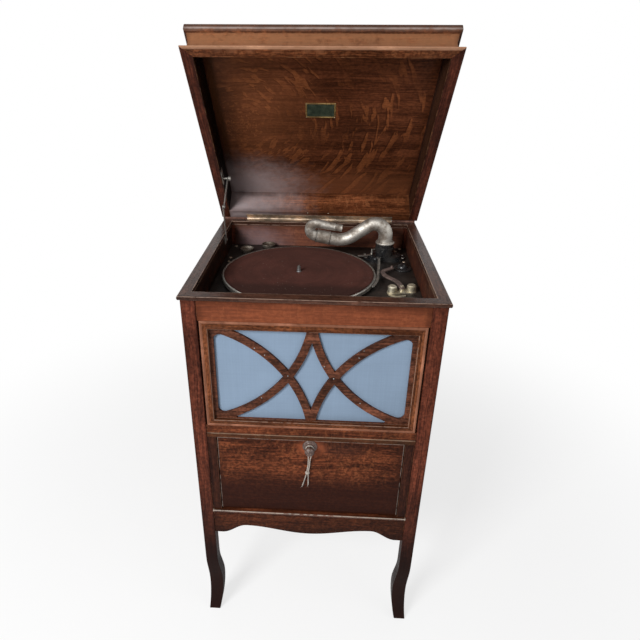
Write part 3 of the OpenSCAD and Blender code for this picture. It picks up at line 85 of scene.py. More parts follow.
# Height of the lid's rails on the shut lid, from the hinge to the panel's underside
LID_TALL = 0.0564
ARM = np.array(joint("tonearm_swing")["pos_m"])
HUB = np.array(joint("turntable_spin")["pos_m"])
RIM_Z = high("rim")[2]


def on_lid(x, forward, above):
    """Places on the lid, given across, forward of the hinge and above it while the lid is shut.
    The lid's angle turns the last two about the hinge: back and up by its sine and cosine."""
    x, forward, above = np.broadcast_arrays(x, forward, above)
    c, s = math.cos(LID_ANGLE), math.sin(LID_ANGLE)
    return np.stack([x, HINGE[1] - forward * c + above * s, HINGE[2] + forward * s + above * c], -1)


# ---- Shapes ----

def unit(v):
    return v / np.maximum(np.linalg.norm(v, axis=-1, keepdims=True), 1e-12)


def lengths(path):
    """Length of a path from its start to each of its points."""
    return np.r_[0, np.cumsum(np.linalg.norm(np.diff(path, axis=0), axis=1))]


def circle(sides):
    """Angles of evenly spaced places round a circle."""
    return 2 * np.pi * np.arange(sides) / sides


def ring_places(ij, sides, girth, run):
    """Texture places on rings, in metres: round the girth and along the run."""
    return np.stack([ij[..., 1] / sides * girth, run[ij[..., 0].astype(int)]], -1)


def grid_faces(rows, cols, wrap_rows=False, wrap_cols=False):
    """Four-sided faces between neighbouring points of a grid, with the corner places of each
    face in whole steps along and across, so that a seam keeps its own texture place."""
    i, j = np.meshgrid(np.arange(rows - (not wrap_rows)), np.arange(cols - (not wrap_cols)),
                       indexing="ij")
    i, j = i.ravel(), j.ravel()
    step = np.array([[0, 0], [0, 1], [1, 1], [1, 0]])
    ij = np.stack([i, j], -1)[:, None] + step
    faces = (ij[..., 0] % rows) * cols + ij[..., 1] % cols
    return faces, ij.astype(float)


def new_piece(name, parts, finish, body, smooth=True):
    """One object from parts, each its points, faces and texture places. Doubled points at seams
    and poles are merged, faces without an area go, and all faces are turned outwards."""
    points, faces, places, start = [], [], [], 0
    for part in parts:
        points.append(part[0].reshape(-1, 3))
        faces.append(part[1] + start)
        places.append(part[2].reshape(-1, 2))
        start += len(points[-1])
    mesh = bpy.data.meshes.new(name)
    mesh.from_pydata(np.concatenate(points).tolist(), [], [f for g in faces for f in g.tolist()])
    layer = mesh.uv_layers.new(name="UVMap")
    layer.data.foreach_set("uv", np.concatenate(places).ravel())
    piece = bpy.data.objects.new(name, mesh)
    bpy.context.scene.collection.objects.link(piece)
    work = bmesh.new()
    work.from_mesh(mesh)
    bmesh.ops.remove_doubles(work, verts=work.verts, dist=WELD)
    bmesh.ops.dissolve_degenerate(work, dist=1e-7, edges=work.edges)
    bmesh.ops.recalc_face_normals(work, faces=work.faces)
    work.to_mesh(mesh)
    work.free()
    mesh.polygons.foreach_set("use_smooth", np.full(len(mesh.polygons), smooth))
    mesh.materials.append(finish)
    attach(piece, body)
    return piece


def smooth_line(points, steps):
    """A smooth curve through points: between two of them it is the cubic that leaves and meets
    each point along the line that joins its neighbours."""
    p = np.vstack([points[0], points, points[-1]])
    a, b, c, d = (p[k:len(p) - 3 + k, None] for k in range(4))
    t = (np.arange(steps) / steps)[:, None]
    curve = 0.5 * (2 * b + (c - a) * t + (2 * a - 5 * b + 4 * c - d) * t ** 2
                   + (3 * b - a - 3 * c + d) * t ** 3)
    return np.vstack([curve.reshape(-1, 3), points[-1]])


def headings(path):
    """Direction of a path at each point, from the point before to the point after."""
    step = np.diff(path, axis=0)
    return unit(np.vstack([step[:1], step[:-1] + step[1:], step[-1:]]))


def swept(path, radius, sides=24, beside=(0, 1, 0), at=None):
    """Rings round a path, closed at its ends. Ring i stands at point at[i] of the path, and its
    points lie at radius[i, k] in the direction cos w times one side direction plus sin w times
    the other, where both are square to the path and the first is square to beside."""
    way = headings(path)
    at = np.arange(len(path)) if at is None else np.asarray(at)
    one = unit(np.cross(way, beside))[at, None]
    two = np.cross(one[:, 0], way[at])[:, None]
    w = circle(sides)
    radius = np.broadcast_to(np.asarray(radius, float), (len(at), sides))
    ring = np.cos(w)[:, None] * one + np.sin(w)[:, None] * two
    ends = np.broadcast_to(path[at[[0, -1]], None], (2, sides, 3))
    points = np.concatenate([ends[:1], path[at, None] + radius[..., None] * ring, ends[1:]])
    faces, ij = grid_faces(len(points), sides, wrap_cols=True)
    girth = 2 * np.pi * radius.mean()
    return points, faces, ring_places(ij, sides, girth, lengths(points.mean(1)))


def turned(profile, centre, axis=(0, 0, 1), sides=48):
    """A solid of revolution: each point of the profile, its radius and its height along the
    axis, is carried round the axis. Its first and last points are closed on the axis."""
    profile = np.asarray(profile, float)
    profile = np.vstack([[0, profile[0, 1]], profile, [0, profile[-1, 1]]])
    axis = unit(np.asarray(axis, float))
    one = unit(np.cross(axis, (0, 1, 0) if abs(axis[1]) < 0.9 else (1, 0, 0)))
    two = np.cross(axis, one)
    w = circle(sides)
    ring = np.cos(w)[:, None] * one + np.sin(w)[:, None] * two
    points = centre + profile[:, None, :1] * ring + profile[:, None, 1:] * axis
    faces, ij = grid_faces(len(profile), sides, wrap_cols=True)
    girth = 2 * np.pi * profile[:, 0].max()
    return points, faces, ring_places(ij, sides, girth, lengths(profile))


def arc(centre, radius, start, end, count=7):
    """Points of a circular arc in a profile, from one angle to another in degrees."""
    a = np.radians(np.linspace(start, end, count))
    return [tuple(p) for p in np.stack([centre[0] + radius * np.cos(a),
                                        centre[1] + radius * np.sin(a)], -1)]


def screw_heads(places, axes, radius, turns):
    """Slotted round screw heads. Across the slot the grid has doubled lines at its two walls;
    a point u across and v along lies at (u, v times the root of 1 - u squared), its height is
    a shallow dome, and less a slot's depth between the walls."""
    u = np.array([-1, -0.8, -0.5, -0.17, -0.17, 0.17, 0.17, 0.5, 0.8, 1.0])
    cut = np.array([0, 0, 0, 0, 1, 1, 0, 0, 0, 0])
    v = np.array([-1, -1, -0.7, -0.25, 0.25, 0.7, 1, 1])
    skirt = np.array([1, 0, 0, 0, 0, 0, 0, 1])
    x = np.broadcast_to(u[:, None], (10, 8))
    y = v * np.sqrt(1 - u[:, None] ** 2)
    z = 0.10 + 0.26 * (1 - x ** 2 - y ** 2) - 0.24 * cut[:, None] * (1 - skirt)
    z = np.where(skirt[None] + (np.abs(x) == 1) > 0, -0.05, z)
    parts = []
    faces, ij = grid_faces(10, 8)
    for place, axis, turn in zip(places, axes, turns):
        axis = unit(np.asarray(axis, float))
        one = unit(np.cross(axis, (0.31, 0.2, 0.93) if abs(axis[2]) < 0.9 else (1, 0, 0)))
        two = np.cross(axis, one)
        a = one * math.cos(turn) + two * math.sin(turn)
        b = two * math.cos(turn) - one * math.sin(turn)
        points = place + radius * (x[..., None] * a + y[..., None] * b + z[..., None] * axis)
        base = radius * -0.05 * axis + place
        parts.append((points, faces, ij * radius))
        rim = np.concatenate([points[:, 0], points[::-1, -1]])
        parts.append((np.stack([rim, np.broadcast_to(base, rim.shape)]),
                      *grid_faces(2, len(rim), wrap_cols=True)))
    return parts


def pin_heads(places, axis, radius):
    """Domed heads of small nails, each a quarter circle turned about its own axis."""
    return [turned(arc((0, 0), radius, 0, 80, 5), place, axis, 10) for place in places]


def rounded_loops(loops, corner, frame_of, count=6):
    """Nested rounded rectangles, each given by its half sizes, the change of its corner radius
    and its height: corners are quarter circles, joined straight."""
    a = np.radians(np.linspace(0, 90, count))
    rows = []
    for wide, tall, less, height in loops:
        r = max(corner - less, 0.0002)
        quarter = [(sx * (wide - r) + r * np.cos(a + k), sy * (tall - r) + r * np.sin(a + k))
                   for k, sx, sy in ((0, 1, 1), (np.pi / 2, -1, 1), (np.pi, -1, -1),
                                     (1.5 * np.pi, 1, -1))]
        x, y = np.concatenate([q[0] for q in quarter]), np.concatenate([q[1] for q in quarter])
        rows.append(frame_of(x, y, height))
    rows = [np.broadcast_to(rows[0].mean(0), rows[0].shape)] + rows
    rows.append(np.broadcast_to(rows[-1].mean(0), rows[0].shape))
    points = np.stack(rows)
    faces, ij = grid_faces(len(points), points.shape[1], wrap_cols=True)
    return points, faces, ij * 0.01


def ripple(x, y, waves):
    """Sum of a few sine waves over a plane, each with a wave number along x, one along y, a
    shift and a height."""
    return sum(h * np.sin(kx * x + ky * y + s) for kx, ky, s, h in waves)


# ---- Node trees ----

class Graph:
    """Adds nodes to one tree. A socket given for an input is linked, anything else is its value."""

    def __init__(self, tree):
        self.tree = tree

    def add(self, kind, inputs=(), **settings):
        made = self.tree.nodes.new(kind)
        for key, value in settings.items():
            setattr(made, key, value)
        for key, value in dict(inputs).items():
            self.feed(made.inputs[key], value)
        return made

    def feed(self, socket, value):
        if isinstance(value, bpy.types.NodeSocket):
            self.tree.links.new(value, socket)
        elif socket.type == "RGBA" and len(value) == 3:
            socket.default_value = (*value, 1)
        else:
            socket.default_value = value

    def math(self, operation, a, b=0.0, clamp=False):
        return self.add("ShaderNodeMath", {0: a, 1: b}, operation=operation,
                        use_clamp=clamp).outputs[0]

    def plus(self, a, b, clamp=False):
        return self.math("ADD", a, b, clamp)

    def minus(self, a, b):
        return self.math("SUBTRACT", a, b)

    def times(self, a, b, clamp=False):
        return self.math("MULTIPLY", a, b, clamp)

    def vector(self, operation, a, b=(0, 0, 0)):
        made = self.add("ShaderNodeVectorMath", {0: a, 1: b}, operation=operation)
        return made.outputs["Value" if operation in ("LENGTH", "DOT_PRODUCT", "DISTANCE") else 0]

    def noise(self, vector, scale=1.0, detail=2.0, rough=0.5, twist=0.0, output=0):
        return self.add("ShaderNodeTexNoise", {"Vector": vector, "Scale": scale, "Detail": detail,
                        "Roughness": rough, "Distortion": twist}).outputs[output]

    def step(self, value, start, end, low_value=0.0, high_value=1.0):
        return self.add("ShaderNodeMapRange", {0: value, 1: start, 2: end, 3: low_value,
                        4: high_value}, interpolation_type="SMOOTHSTEP").outputs[0]

    def mix(self, share, a, b):
        return self.add("ShaderNodeMix", {0: share, 6: a, 7: b}, data_type="RGBA").outputs[2]

    def split(self, vector):
        return self.add("ShaderNodeSeparateXYZ", {0: vector}).outputs

    def join(self, x, y, z):
        return self.add("ShaderNodeCombineXYZ", {0: x, 1: y, 2: z}).outputs[0]

    def use(self, tree, inputs):
        made = self.add("ShaderNodeGroup", node_tree=tree)
        for key, value in inputs.items():
            self.feed(made.inputs[key], value)
        return made.outputs


def effect(name, inputs, outputs):
    """Turns a function that fills a graph, between its inputs and outputs, into one that gives
    the node group. The group is made at the first call."""
    def group_of(fill):
        def group():
            if name in bpy.data.node_groups:
                return bpy.data.node_groups[name]
            tree = bpy.data.node_groups.new(name, "ShaderNodeTree")
            for label, kind, value in inputs:
                socket = tree.interface.new_socket(label, in_out="INPUT",
                                                   socket_type="NodeSocket" + kind)
                socket.default_value = (*value, 1) if kind == "Color" else value
            for label, kind in outputs:
                tree.interface.new_socket(label, in_out="OUTPUT",
                                          socket_type="NodeSocket" + kind)
            graph = Graph(tree)
            fill(graph, graph.add("NodeGroupInput").outputs, graph.add("NodeGroupOutput").inputs)
            return tree
        return group
    return group_of


@effect("ray flecks", [
    ("Vector", "Vector", (0, 0, 0)), ("Eye", "Vector", (0, 0, 0)), ("Turning", "Float", 0.0),
    ("Size", "Float", 1.0)], [("Island", "Float"), ("Line", "Float")])
def ray_flecks(g, i, o):
    """Ray flecks of quarter-sawn oak: islands where a stretched noise is high, and on one side of
    each a dark line, where the same noise looked up a little further on is high but here is not.
    Turning lays them on circles round an eye, where the noise is looked up by the direction from
    the eye and by the root of the distance."""
    v = i["Vector"]
    x, y, z = g.split(g.vector("SUBTRACT", v, i["Eye"]))
    far = g.math("SQRT", g.plus(g.times(x, x), g.times(y, y)))
    least = g.math("MAXIMUM", far, 0.004)
    circles = g.join(g.times(g.math("DIVIDE", x, least), 2.5),
                     g.times(g.math("DIVIDE", y, least), 2.5),
                     g.times(g.math("SQRT", least), 44.0))
    x, y, z = g.split(v)
    across = g.join(g.times(y, 24.0), g.times(z, 24.0), g.times(x, 70.0))
    place = g.add("ShaderNodeMix", {0: i["Turning"], 4: across, 5: circles},
                  data_type="VECTOR").outputs[1]
    place = g.add("ShaderNodeVectorMath", {0: place, "Scale": g.math("DIVIDE", 1.0, i["Size"])},
                  operation="SCALE").outputs[0]
    here = g.noise(place, detail=2.0, rough=0.45, twist=0.5)
    next_to = g.noise(g.vector("ADD", place, (0, 0, 0.17)), detail=2.0, rough=0.45, twist=0.5)
    island = g.step(here, 0.535, 0.585)
    patch = g.step(g.noise(v, scale=11.0, detail=2.0), 0.34, 0.56, 0.15, 1.0)
    line = g.times(g.step(next_to, 0.535, 0.575), g.minus(1.0, island))
    g.feed(o["Island"], g.times(island, patch))
    g.feed(o["Line"], g.times(line, patch))


@effect("oak grain", [
    ("Vector", "Vector", (0, 0, 0)), ("Dark", "Color", (0.03, 0.012, 0.007)),
    ("Light", "Color", (0.09, 0.035, 0.018)), ("Fleck Color", "Color", (0.12, 0.05, 0.025)),
    ("Figure", "Float", 0.6), ("Fleck Size", "Float", 1.0), ("Eye", "Vector", (0, 0, 0)),
    ("Turning", "Float", 0.0), ("Mottle", "Float", 0.3), ("Roughness", "Float", 0.36)],
    [("Color", "Color"), ("Roughness", "Float"), ("Height", "Float")])
def oak_grain(g, i, o):
    """Quarter-sawn oak with its grain along the vector's first part: slow bends of the fibres,
    streaks of early and late wood, open pores, ray flecks with their dark lines, and a mottle of
    small dabs."""
    v = i["Vector"]
    bend = g.vector("MULTIPLY", g.vector("SUBTRACT", g.noise(g.vector("MULTIPLY", v, (4, 12, 12)),
                    detail=2.0, output=1), (0.5, 0.5, 0.5)), (0.0, 0.030, 0.030))
    fibre = g.vector("ADD", v, bend)
    fine = g.noise(g.vector("MULTIPLY", fibre, (9, 380, 380)), detail=3.0, rough=0.6)
    broad = g.noise(g.vector("MULTIPLY", fibre, (2.2, 55, 55)), detail=2.0)
    growth = g.step(g.plus(g.times(fine, 0.6), g.times(broad, 0.4)),
                    0.36, 0.64)
    pores = g.step(g.noise(g.vector("MULTIPLY", fibre, (85, 1300, 1300)), detail=1.0), 0.55, 0.66)
    pores = g.times(pores, g.minus(1.25, growth))
    rays = g.use(ray_flecks(), {"Vector": v, "Eye": i["Eye"], "Turning": i["Turning"],
                                "Size": i["Fleck Size"]})
    fleck = g.times(rays["Island"], i["Figure"])
    line = g.times(rays["Line"], i["Figure"])
    dabs = g.noise(g.vector("MULTIPLY", fibre, (150, 210, 210)), detail=2.0, rough=0.6)
    dabs = g.times(g.step(dabs, 0.36, 0.64, -0.75, 0.75), i["Mottle"])
    cloud = g.noise(v, scale=8.0, detail=3.0, rough=0.55)
    color = g.mix(growth, i["Dark"], i["Light"])
    color = g.mix(fleck, color, i["Fleck Color"])
    color = g.mix(g.times(line, 1.0, clamp=True), color, i["Dark"])
    shade = g.minus(g.step(cloud, 0.28, 0.72, 0.66, 1.26), g.times(pores, 0.42))
    shade = g.times(shade, g.plus(1.0, dabs))
    color = g.vector("SCALE", color)
    g.feed(color.node.inputs["Scale"], shade)
    g.feed(o["Color"], color)
    rough = g.plus(i["Roughness"], g.times(pores, 0.16))
    rough = g.plus(rough, g.step(cloud, 0.3, 0.7, -0.05, 0.08))
    g.feed(o["Roughness"], g.minus(rough, g.times(fleck, 0.06)))
    relief = g.minus(g.times(growth, 0.35), g.math("MAXIMUM", pores, line))
    g.feed(o["Height"], g.plus(relief, g.times(fleck, 0.25)))


@effect("edge wear", [
    ("Vector", "Vector", (0, 0, 0)), ("Centre", "Vector", (0, 0, 0)),
    ("Half", "Vector", (1, 1, 1)), ("Width", "Float", 0.002)],
    [("Worn", "Float"), ("Grime And Shade", "Float"), ("Line", "Float")])
def edge_wear(g, i, o):
    """Masks near the edges of a box. On a face one of the three distances to the box's sides is
    nothing, and the next is the distance to the nearest edge; noise breaks its width."""
    away = g.vector("ABSOLUTE", g.vector("SUBTRACT", i["Vector"], i["Centre"]))
    x, y, z = g.split(g.vector("MAXIMUM", g.vector("SUBTRACT", i["Half"], away), (0, 0, 0)))
    most = g.math("MAXIMUM", g.math("MAXIMUM", x, y), z)
    least = g.math("MINIMUM", g.math("MINIMUM", x, y), z)
    near = g.minus(g.plus(g.plus(x, y), z), g.plus(most, least))
    near = g.math("DIVIDE", near, i["Width"])
    torn = g.noise(i["Vector"], scale=70.0, detail=4.0, rough=0.65)
    g.feed(o["Worn"], g.step(g.minus(g.times(torn, 3.2), near), 0.95, 1.9))
    # Grime And Shade: a wide, soft darkening towards the edges, dirt together with painted shade
    # for the shade of corners and recesses
    soft = g.noise(i["Vector"], scale=16.0, detail=3.0)
    g.feed(o["Grime And Shade"], g.step(g.minus(g.times(soft, 14.0), near), 0.0, 7.0))
    g.feed(o["Line"], g.times(g.step(near, 0.45, 0.85, 1.0, 0.0), g.step(torn, 0.34, 0.50)))


@effect("mitred bars", [
    ("Vector", "Vector", (0, 0, 0)), ("Half Width", "Float", 1.0),
    ("Half Depth", "Float", 1.0)],
    [("Vector", "Vector")])
def bar_frame(g, i, o):
    """Turns places on a mitred frame round the origin into places on its bars: along the bar,
    in from the outer edge, and up. A mitre is where the ways in from both edges are equal."""
    x, y, z = g.split(i["Vector"])
    in_x = g.minus(i["Half Width"], g.math("ABSOLUTE", x))
    in_y = g.minus(i["Half Depth"], g.math("ABSOLUTE", y))
    side = g.math("LESS_THAN", in_x, in_y)
    along = g.add("ShaderNodeMix", {0: side, 2: x, 3: g.plus(y, 3.1)}).outputs[0]
    apart = g.times(g.math("SIGN", g.plus(x, y)), 0.7)
    g.feed(o["Vector"], g.join(g.plus(along, apart), g.math("MINIMUM", in_x, in_y), z))


@effect("aged metal", [
    ("Vector", "Vector", (0, 0, 0)), ("Bright", "Color", (0.6, 0.57, 0.52)),
    ("Dull", "Color", (0.3, 0.28, 0.25)), ("Tarnish", "Float", 0.5),
    ("Roughness", "Float", 0.3)],
    [("Color", "Color"), ("Roughness", "Float"), ("Height", "Float")])
def metal_skin(g, i, o):
    """Aged metal: clouded tarnish, small dark spots and fine scratches."""
    v = i["Vector"]
    cloud = g.noise(v, scale=42.0, detail=5.0, rough=0.62)
    spots = g.step(g.noise(v, scale=420.0, detail=2.0), 0.60, 0.72)
    wide = g.step(g.plus(cloud, g.times(i["Tarnish"], 0.28)), 0.50, 0.76)
    scratch = g.noise(g.vector("MULTIPLY", v, (1600, 1600, 130)), detail=1.0)
    dull = g.math("MAXIMUM", wide, g.times(spots, 0.8), clamp=True)
    g.feed(o["Color"], g.mix(dull, i["Bright"], i["Dull"]))
    rough = g.plus(i["Roughness"], g.times(dull, 0.22))
    g.feed(o["Roughness"], g.plus(rough, g.times(scratch, 0.10)))
    g.feed(o["Height"], g.minus(g.times(scratch, 0.3), spots))


class Finish(Graph):
    """The graph of a new material, with its shader."""

    def __init__(self, name):
        self.material = bpy.data.materials.new(name)
        self.material.use_nodes = True
        super().__init__(self.material.node_tree)
        self.shader = self.tree.nodes["Principled BSDF"]

    def coat(self, color, rough, height=None, strength=0.0, depth=0.0, **constants):
        """Sets the shader's colour, roughness, relief and constant inputs, in whose names an
        underscore stands for a space, and gives the material."""
        self.feed(self.shader.inputs["Base Color"], color)
        self.feed(self.shader.inputs["Roughness"], rough)
        for key, value in constants.items():
            self.shader.inputs[key.replace("_", " ")].default_value = value
        if height is not None:
            self.feed(self.shader.inputs["Normal"], self.add("ShaderNodeBump", {
                "Height": height, "Strength": strength, "Distance": depth}).outputs[0])
        return self.material


def shared(name):
    return bpy.data.materials.get(name)


def object_place(graph, on_the_lid=False, depth_first=False):
    """Object coordinates, turned into the shut lid's for a piece on the lid, or tipped so that
    an upright frame on the front lies in the plane of its first two parts."""
    place = graph.add("ShaderNodeTexCoord").outputs["Object"]
    if on_the_lid:
        turn = Euler((LID_ANGLE, 0, 0))
        shift = -(turn.to_matrix() @ Vector(HINGE))
        place = graph.add("ShaderNodeMapping", {"Vector": place, "Location": shift,
                          "Rotation": turn}).outputs[0]
    if depth_first:
        place = graph.add("ShaderNodeMapping", {"Vector": place,
                          "Rotation": (-math.pi / 2, 0, 0)}).outputs[0]
    return place


GRAIN_TURN = {"X": (0, 0, 0), "Y": (0, 0, -math.pi / 2), "Z": (0, math.pi / 2, 0)}


def oak_finish(name, dark, light, fleck, figure=0.6, size=1.0, grain="X", rough=0.36, seed=0.0,
               on_the_lid=False, box=None, bars=None, wear=0.55, width=0.0022, grime_and_shade=0.5,
               mottle=0.3, eye=None, gloss=0.05, edge=None, stripes=(), patches=()):
    """Stained oak. box is the centre and half size of one board, for wear at its edges, a
    darkening near them that is dirt together with painted shade, and a light line; bars is
    the side that a mitred frame faces, its centre, half width and half depth, and its bar's
    width, foot and top. eye is the middle of the circles that the flecks lie on. edge is the
    share and the colour of a thin light line along the edges, a painted highlight of the eased
    edge. Each stripe is a coordinate, a start, an end, a share and a colour: between the two
    places the wood takes that colour. Each patch is a centre, an inner and outer radius,
    flattening, a share and a colour."""
    set_ = bpy.context.scene.cabinet_oak
    g = Finish(name)
    place = object_place(g, on_the_lid, bars is not None and bars[0] == "front")
    if bars:
        _, centre, half_w, half_d, bar, foot, top = bars
        place = g.vector("SUBTRACT", place, centre)
        place = g.use(bar_frame(), {"Vector": place, "Half Width": half_w,
                                    "Half Depth": half_d})["Vector"]
        box = ((0, bar / 2, (foot + top) / 2), (9.0, bar / 2, (top - foot) / 2))
    folded = place if bars else g.vector("ABSOLUTE", place)
    along = g.add("ShaderNodeMapping", {"Vector": place, "Rotation": GRAIN_TURN[grain],
                  "Location": (seed, seed * 0.37, -seed * 0.61)}).outputs[0]
    centre = (eye[0] + seed, eye[1] + seed * 0.37, 0) if eye else (0, 0, 0)
    wood = g.use(oak_grain(), {"Vector": along, "Dark": dark, "Light": light, "Fleck Color": fleck,
                               "Figure": figure * set_.figure, "Fleck Size": size, "Eye": centre,
                               "Turning": 1.0 if eye else 0.0, "Mottle": mottle,
                               "Roughness": rough + set_.dullness})
    color, roughness = wood["Color"], wood["Roughness"]
    parts = g.split(place)
    torn = g.noise(place, scale=60.0, detail=3.0, rough=0.6)
    wander, soft = 0.0016, 0.0006
    for axis, start, end, share, tint in stripes:
        at = g.plus(parts[axis], g.times(g.minus(torn, 0.5), wander))
        inside = g.times(g.step(at, start - soft, start + soft),
                        g.step(at, end - soft, end + soft, 1.0, 0.0))
        inside = g.times(inside, g.step(torn, 0.25, 0.55, 0.45 * share, share))
        color = g.mix(inside, color, tint)
    for centre, inner, outer, flat, share, tint in patches:
        gap = g.vector("LENGTH", g.vector("MULTIPLY", g.vector("SUBTRACT", place, centre), flat))
        gap = g.plus(gap, g.times(g.minus(torn, 0.5), (outer - inner) * 0.4))
        color = g.mix(g.step(gap, inner, outer, share, 0.0), color, tint)
    if box:
        masks = g.use(edge_wear(), {"Vector": folded, "Centre": box[0], "Half": box[1],
                                    "Width": width * set_.wear_width})
        # Darker towards the board's edges: dirt together with painted shade
        dirt = g.times(masks["Grime And Shade"], grime_and_shade)
        color = g.mix(dirt, color, shaded(dark, 0.45))
        worn = g.times(masks["Worn"], wear)
        color = g.mix(worn, color, tuple(set_.worn_color))
        # A thin light line along the edges: painted highlight of the eased edge
        if edge:
            color = g.mix(g.times(masks["Line"], edge[0]), color, edge[1])
        roughness = g.plus(roughness, g.times(worn, 0.12))
    return g.coat(color, roughness, wood["Height"], 0.35, 0.00025, Specular_IOR_Level=gloss,
                  Coat_Weight=gloss * 0.5, Coat_Roughness=0.16)


def shaded(color, share):
    return tuple(share * c for c in color)


def metal_finish(name, bright, dull, tarnish=0.5, rough=0.3, metallic=1.0, relief=0.2):
    """Aged metal of one bright and one dull colour, made once under each name"""
    if shared(name):
        return shared(name)
    g = Finish(name)
    skin = g.use(metal_skin(), {"Vector": object_place(g), "Bright": bright, "Dull": dull,
                                "Tarnish": tarnish, "Roughness": rough})
    return g.coat(skin["Color"], skin["Roughness"], skin["Height"], relief, 0.0001,
                  Metallic=metallic)


def nickel():
    set_ = bpy.context.scene.cabinet_metal
    return metal_finish("nickel plate", tuple(set_.nickel), shaded(set_.nickel, 0.45), 0.45, 0.34)


def old_nickel():
    """Nickel worn thin by the hand: matt, with brown patches where the brass comes through"""
    set_ = bpy.context.scene.cabinet_metal
    return metal_finish("worn nickel", shaded(set_.nickel, 1.12), (0.200, 0.165, 0.135), 0.40, 0.52,
                        relief=0.3)


def brass():
    set_ = bpy.context.scene.cabinet_metal
    return metal_finish("aged brass", tuple(set_.brass), shaded(set_.brass, 0.42), 0.5, 0.38)


def steel():
    return metal_finish("dull steel", (0.42, 0.42, 0.43), (0.17, 0.16, 0.15), 0.5, 0.36)


def bronzed():
    return metal_finish("bronzed steel", (0.215, 0.150, 0.130), (0.090, 0.062, 0.054), 0.4, 0.40,
                        metallic=0.35)


def japanned():
    """Black stoved enamel with dust in its hollows and bare spots."""
    if shared("black enamel"):
        return shared("black enamel")
    g = Finish("black enamel")
    place = object_place(g)
    chips = g.step(g.noise(place, scale=160.0, detail=4.0, rough=0.7), 0.66, 0.72)
    dust = g.step(g.noise(place, scale=30.0, detail=5.0, rough=0.7), 0.42, 0.78)
    color = g.mix(dust, (0.010, 0.010, 0.011), (0.040, 0.036, 0.032))
    return g.coat(g.mix(chips, color, (0.15, 0.13, 0.11)), g.plus(g.times(dust, 0.28), 0.24),
                  g.minus(g.noise(place, scale=900.0, detail=2.0), chips), 0.2, 0.0001)


def board_black():
    """Motor board: black stain over close-grained wood, dull with dust."""
    g = Finish("black board")
    place = object_place(g)
    wood = g.use(oak_grain(), {"Vector": place, "Dark": (0.008, 0.006, 0.005),
                 "Light": (0.020, 0.014, 0.011), "Fleck Color": (0.03, 0.02, 0.015),
                 "Figure": 0.15, "Roughness": 0.42})
    dust = g.step(g.noise(place, scale=22.0, detail=6.0, rough=0.72), 0.45, 0.85)
    return g.coat(g.mix(dust, wood["Color"], (0.055, 0.045, 0.038)),
                  g.plus(wood["Roughness"], g.times(dust, 0.2)), wood["Height"], 0.3, 0.0002,
                  Specular_IOR_Level=0.3)


def grille_cloth():
    """Plain weave: threads over and under each other, uneven threads across and down, and a
    slow fading of the blue."""
    set_ = bpy.context.scene.cabinet_cloth
    g = Finish("grille cloth")
    place = object_place(g)
    x, _, z = g.split(place)
    pitch = 2 * math.pi / set_.thread
    warp = g.math("SINE", g.times(x, pitch))
    weft = g.math("SINE", g.times(z, pitch))
    over = g.times(warp, weft)
    thick_x = g.noise(g.vector("MULTIPLY", place, (700, 1, 9)), detail=2.0)
    thick_z = g.noise(g.vector("MULTIPLY", place, (9, 1, 700)), detail=2.0)
    slub = g.plus(thick_x, thick_z)
    fade = g.noise(g.vector("MULTIPLY", place, (5, 1, 8)), detail=3.0)
    color = g.mix(g.step(fade, 0.3, 0.7), shaded(set_.blue, 0.86), tuple(set_.blue))
    color = g.mix(g.step(slub, 0.8, 1.25, 0.0, 0.16), color, shaded(set_.blue, 1.3))
    # Darker where one thread dips under the other: painted shade between the threads
    color = g.mix(g.step(over, -0.9, 0.9, 0.08, 0.0), color, shaded(set_.blue, 0.5))
    return g.coat(color, 0.86, g.plus(over, slub), 0.35, 0.00015, Sheen_Weight=0.12,
                  Sheen_Roughness=0.5, Specular_IOR_Level=0.15)


def felt_nap():
    """Maroon felt: matted fibres, paler worn rings where records lay, and lint."""
    set_ = bpy.context.scene.cabinet_cloth
    g = Finish("felt")
    place = g.vector("SUBTRACT", object_place(g), tuple(HUB))
    away = g.vector("LENGTH", g.vector("MULTIPLY", place, (1, 1, 0)))
    nap = g.noise(place, scale=900.0, detail=4.0, rough=0.7)
    cloud = g.noise(place, scale=14.0, detail=5.0, rough=0.6)
    rings = g.noise(g.join(g.times(away, 150), 0.5, 0.5), detail=3.0)
    tone = g.plus(g.times(cloud, 0.7), g.times(rings, 0.3))
    color = g.mix(g.step(tone, 0.38, 0.62), shaded(set_.felt, 0.72), shaded(set_.felt, 1.2))
    color = g.mix(g.step(nap, 0.3, 0.75, 0.45, 0.0), color, shaded(set_.felt, 0.4))
    # The strip nearest the player is painted darker: painted shadow of the front rim on the felt
    near = g.step(g.plus(g.split(place)[1], g.times(cloud, 0.02)), -0.074, -0.044, 0.80, 0.0)
    color = g.mix(near, color, shaded(set_.felt, 0.22))
    lint = g.step(g.noise(place, scale=260.0, detail=1.0), 0.73, 0.78)
    return g.coat(g.mix(g.times(lint, 0.4), color, (0.26, 0.20, 0.17)), 0.95,
                  g.plus(nap, g.times(lint, 0.6)), 0.6, 0.0004, Sheen_Weight=0.10,
                  Sheen_Roughness=0.45, Sheen_Tint=(0.6, 0.35, 0.28, 1),
                  Specular_IOR_Level=0.1)


def string_cotton():
    """Two-ply cotton: slanting twist from the piece's own places, fibres and handling dirt."""
    if shared("cotton string"):
        return shared("cotton string")
    set_ = bpy.context.scene.cabinet_string
    g = Finish("cotton string")
    u, v, _ = g.split(g.add("ShaderNodeTexCoord").outputs["UV"])
    lay = g.plus(g.times(v, 2 * math.pi / set_.lay), g.times(u, 900.0))
    twist = g.math("SINE", lay)
    fibre = g.noise(g.join(g.times(u, 5200), g.times(v, 700), 0.0), detail=3.0)
    dirt = g.step(g.noise(object_place(g), scale=45.0, detail=4.0), 0.35, 0.7)
    color = g.mix(dirt, tuple(set_.color), shaded(set_.color, 0.62))
    # Darker in the grooves between the plies: painted shade
    color = g.mix(g.step(twist, -1.0, 0.3, 0.5, 0.0), color, shaded(set_.color, 0.4))
    return g.coat(color, 0.9, g.plus(twist, fibre), 0.5, 0.0002, Sheen_Weight=0.2)


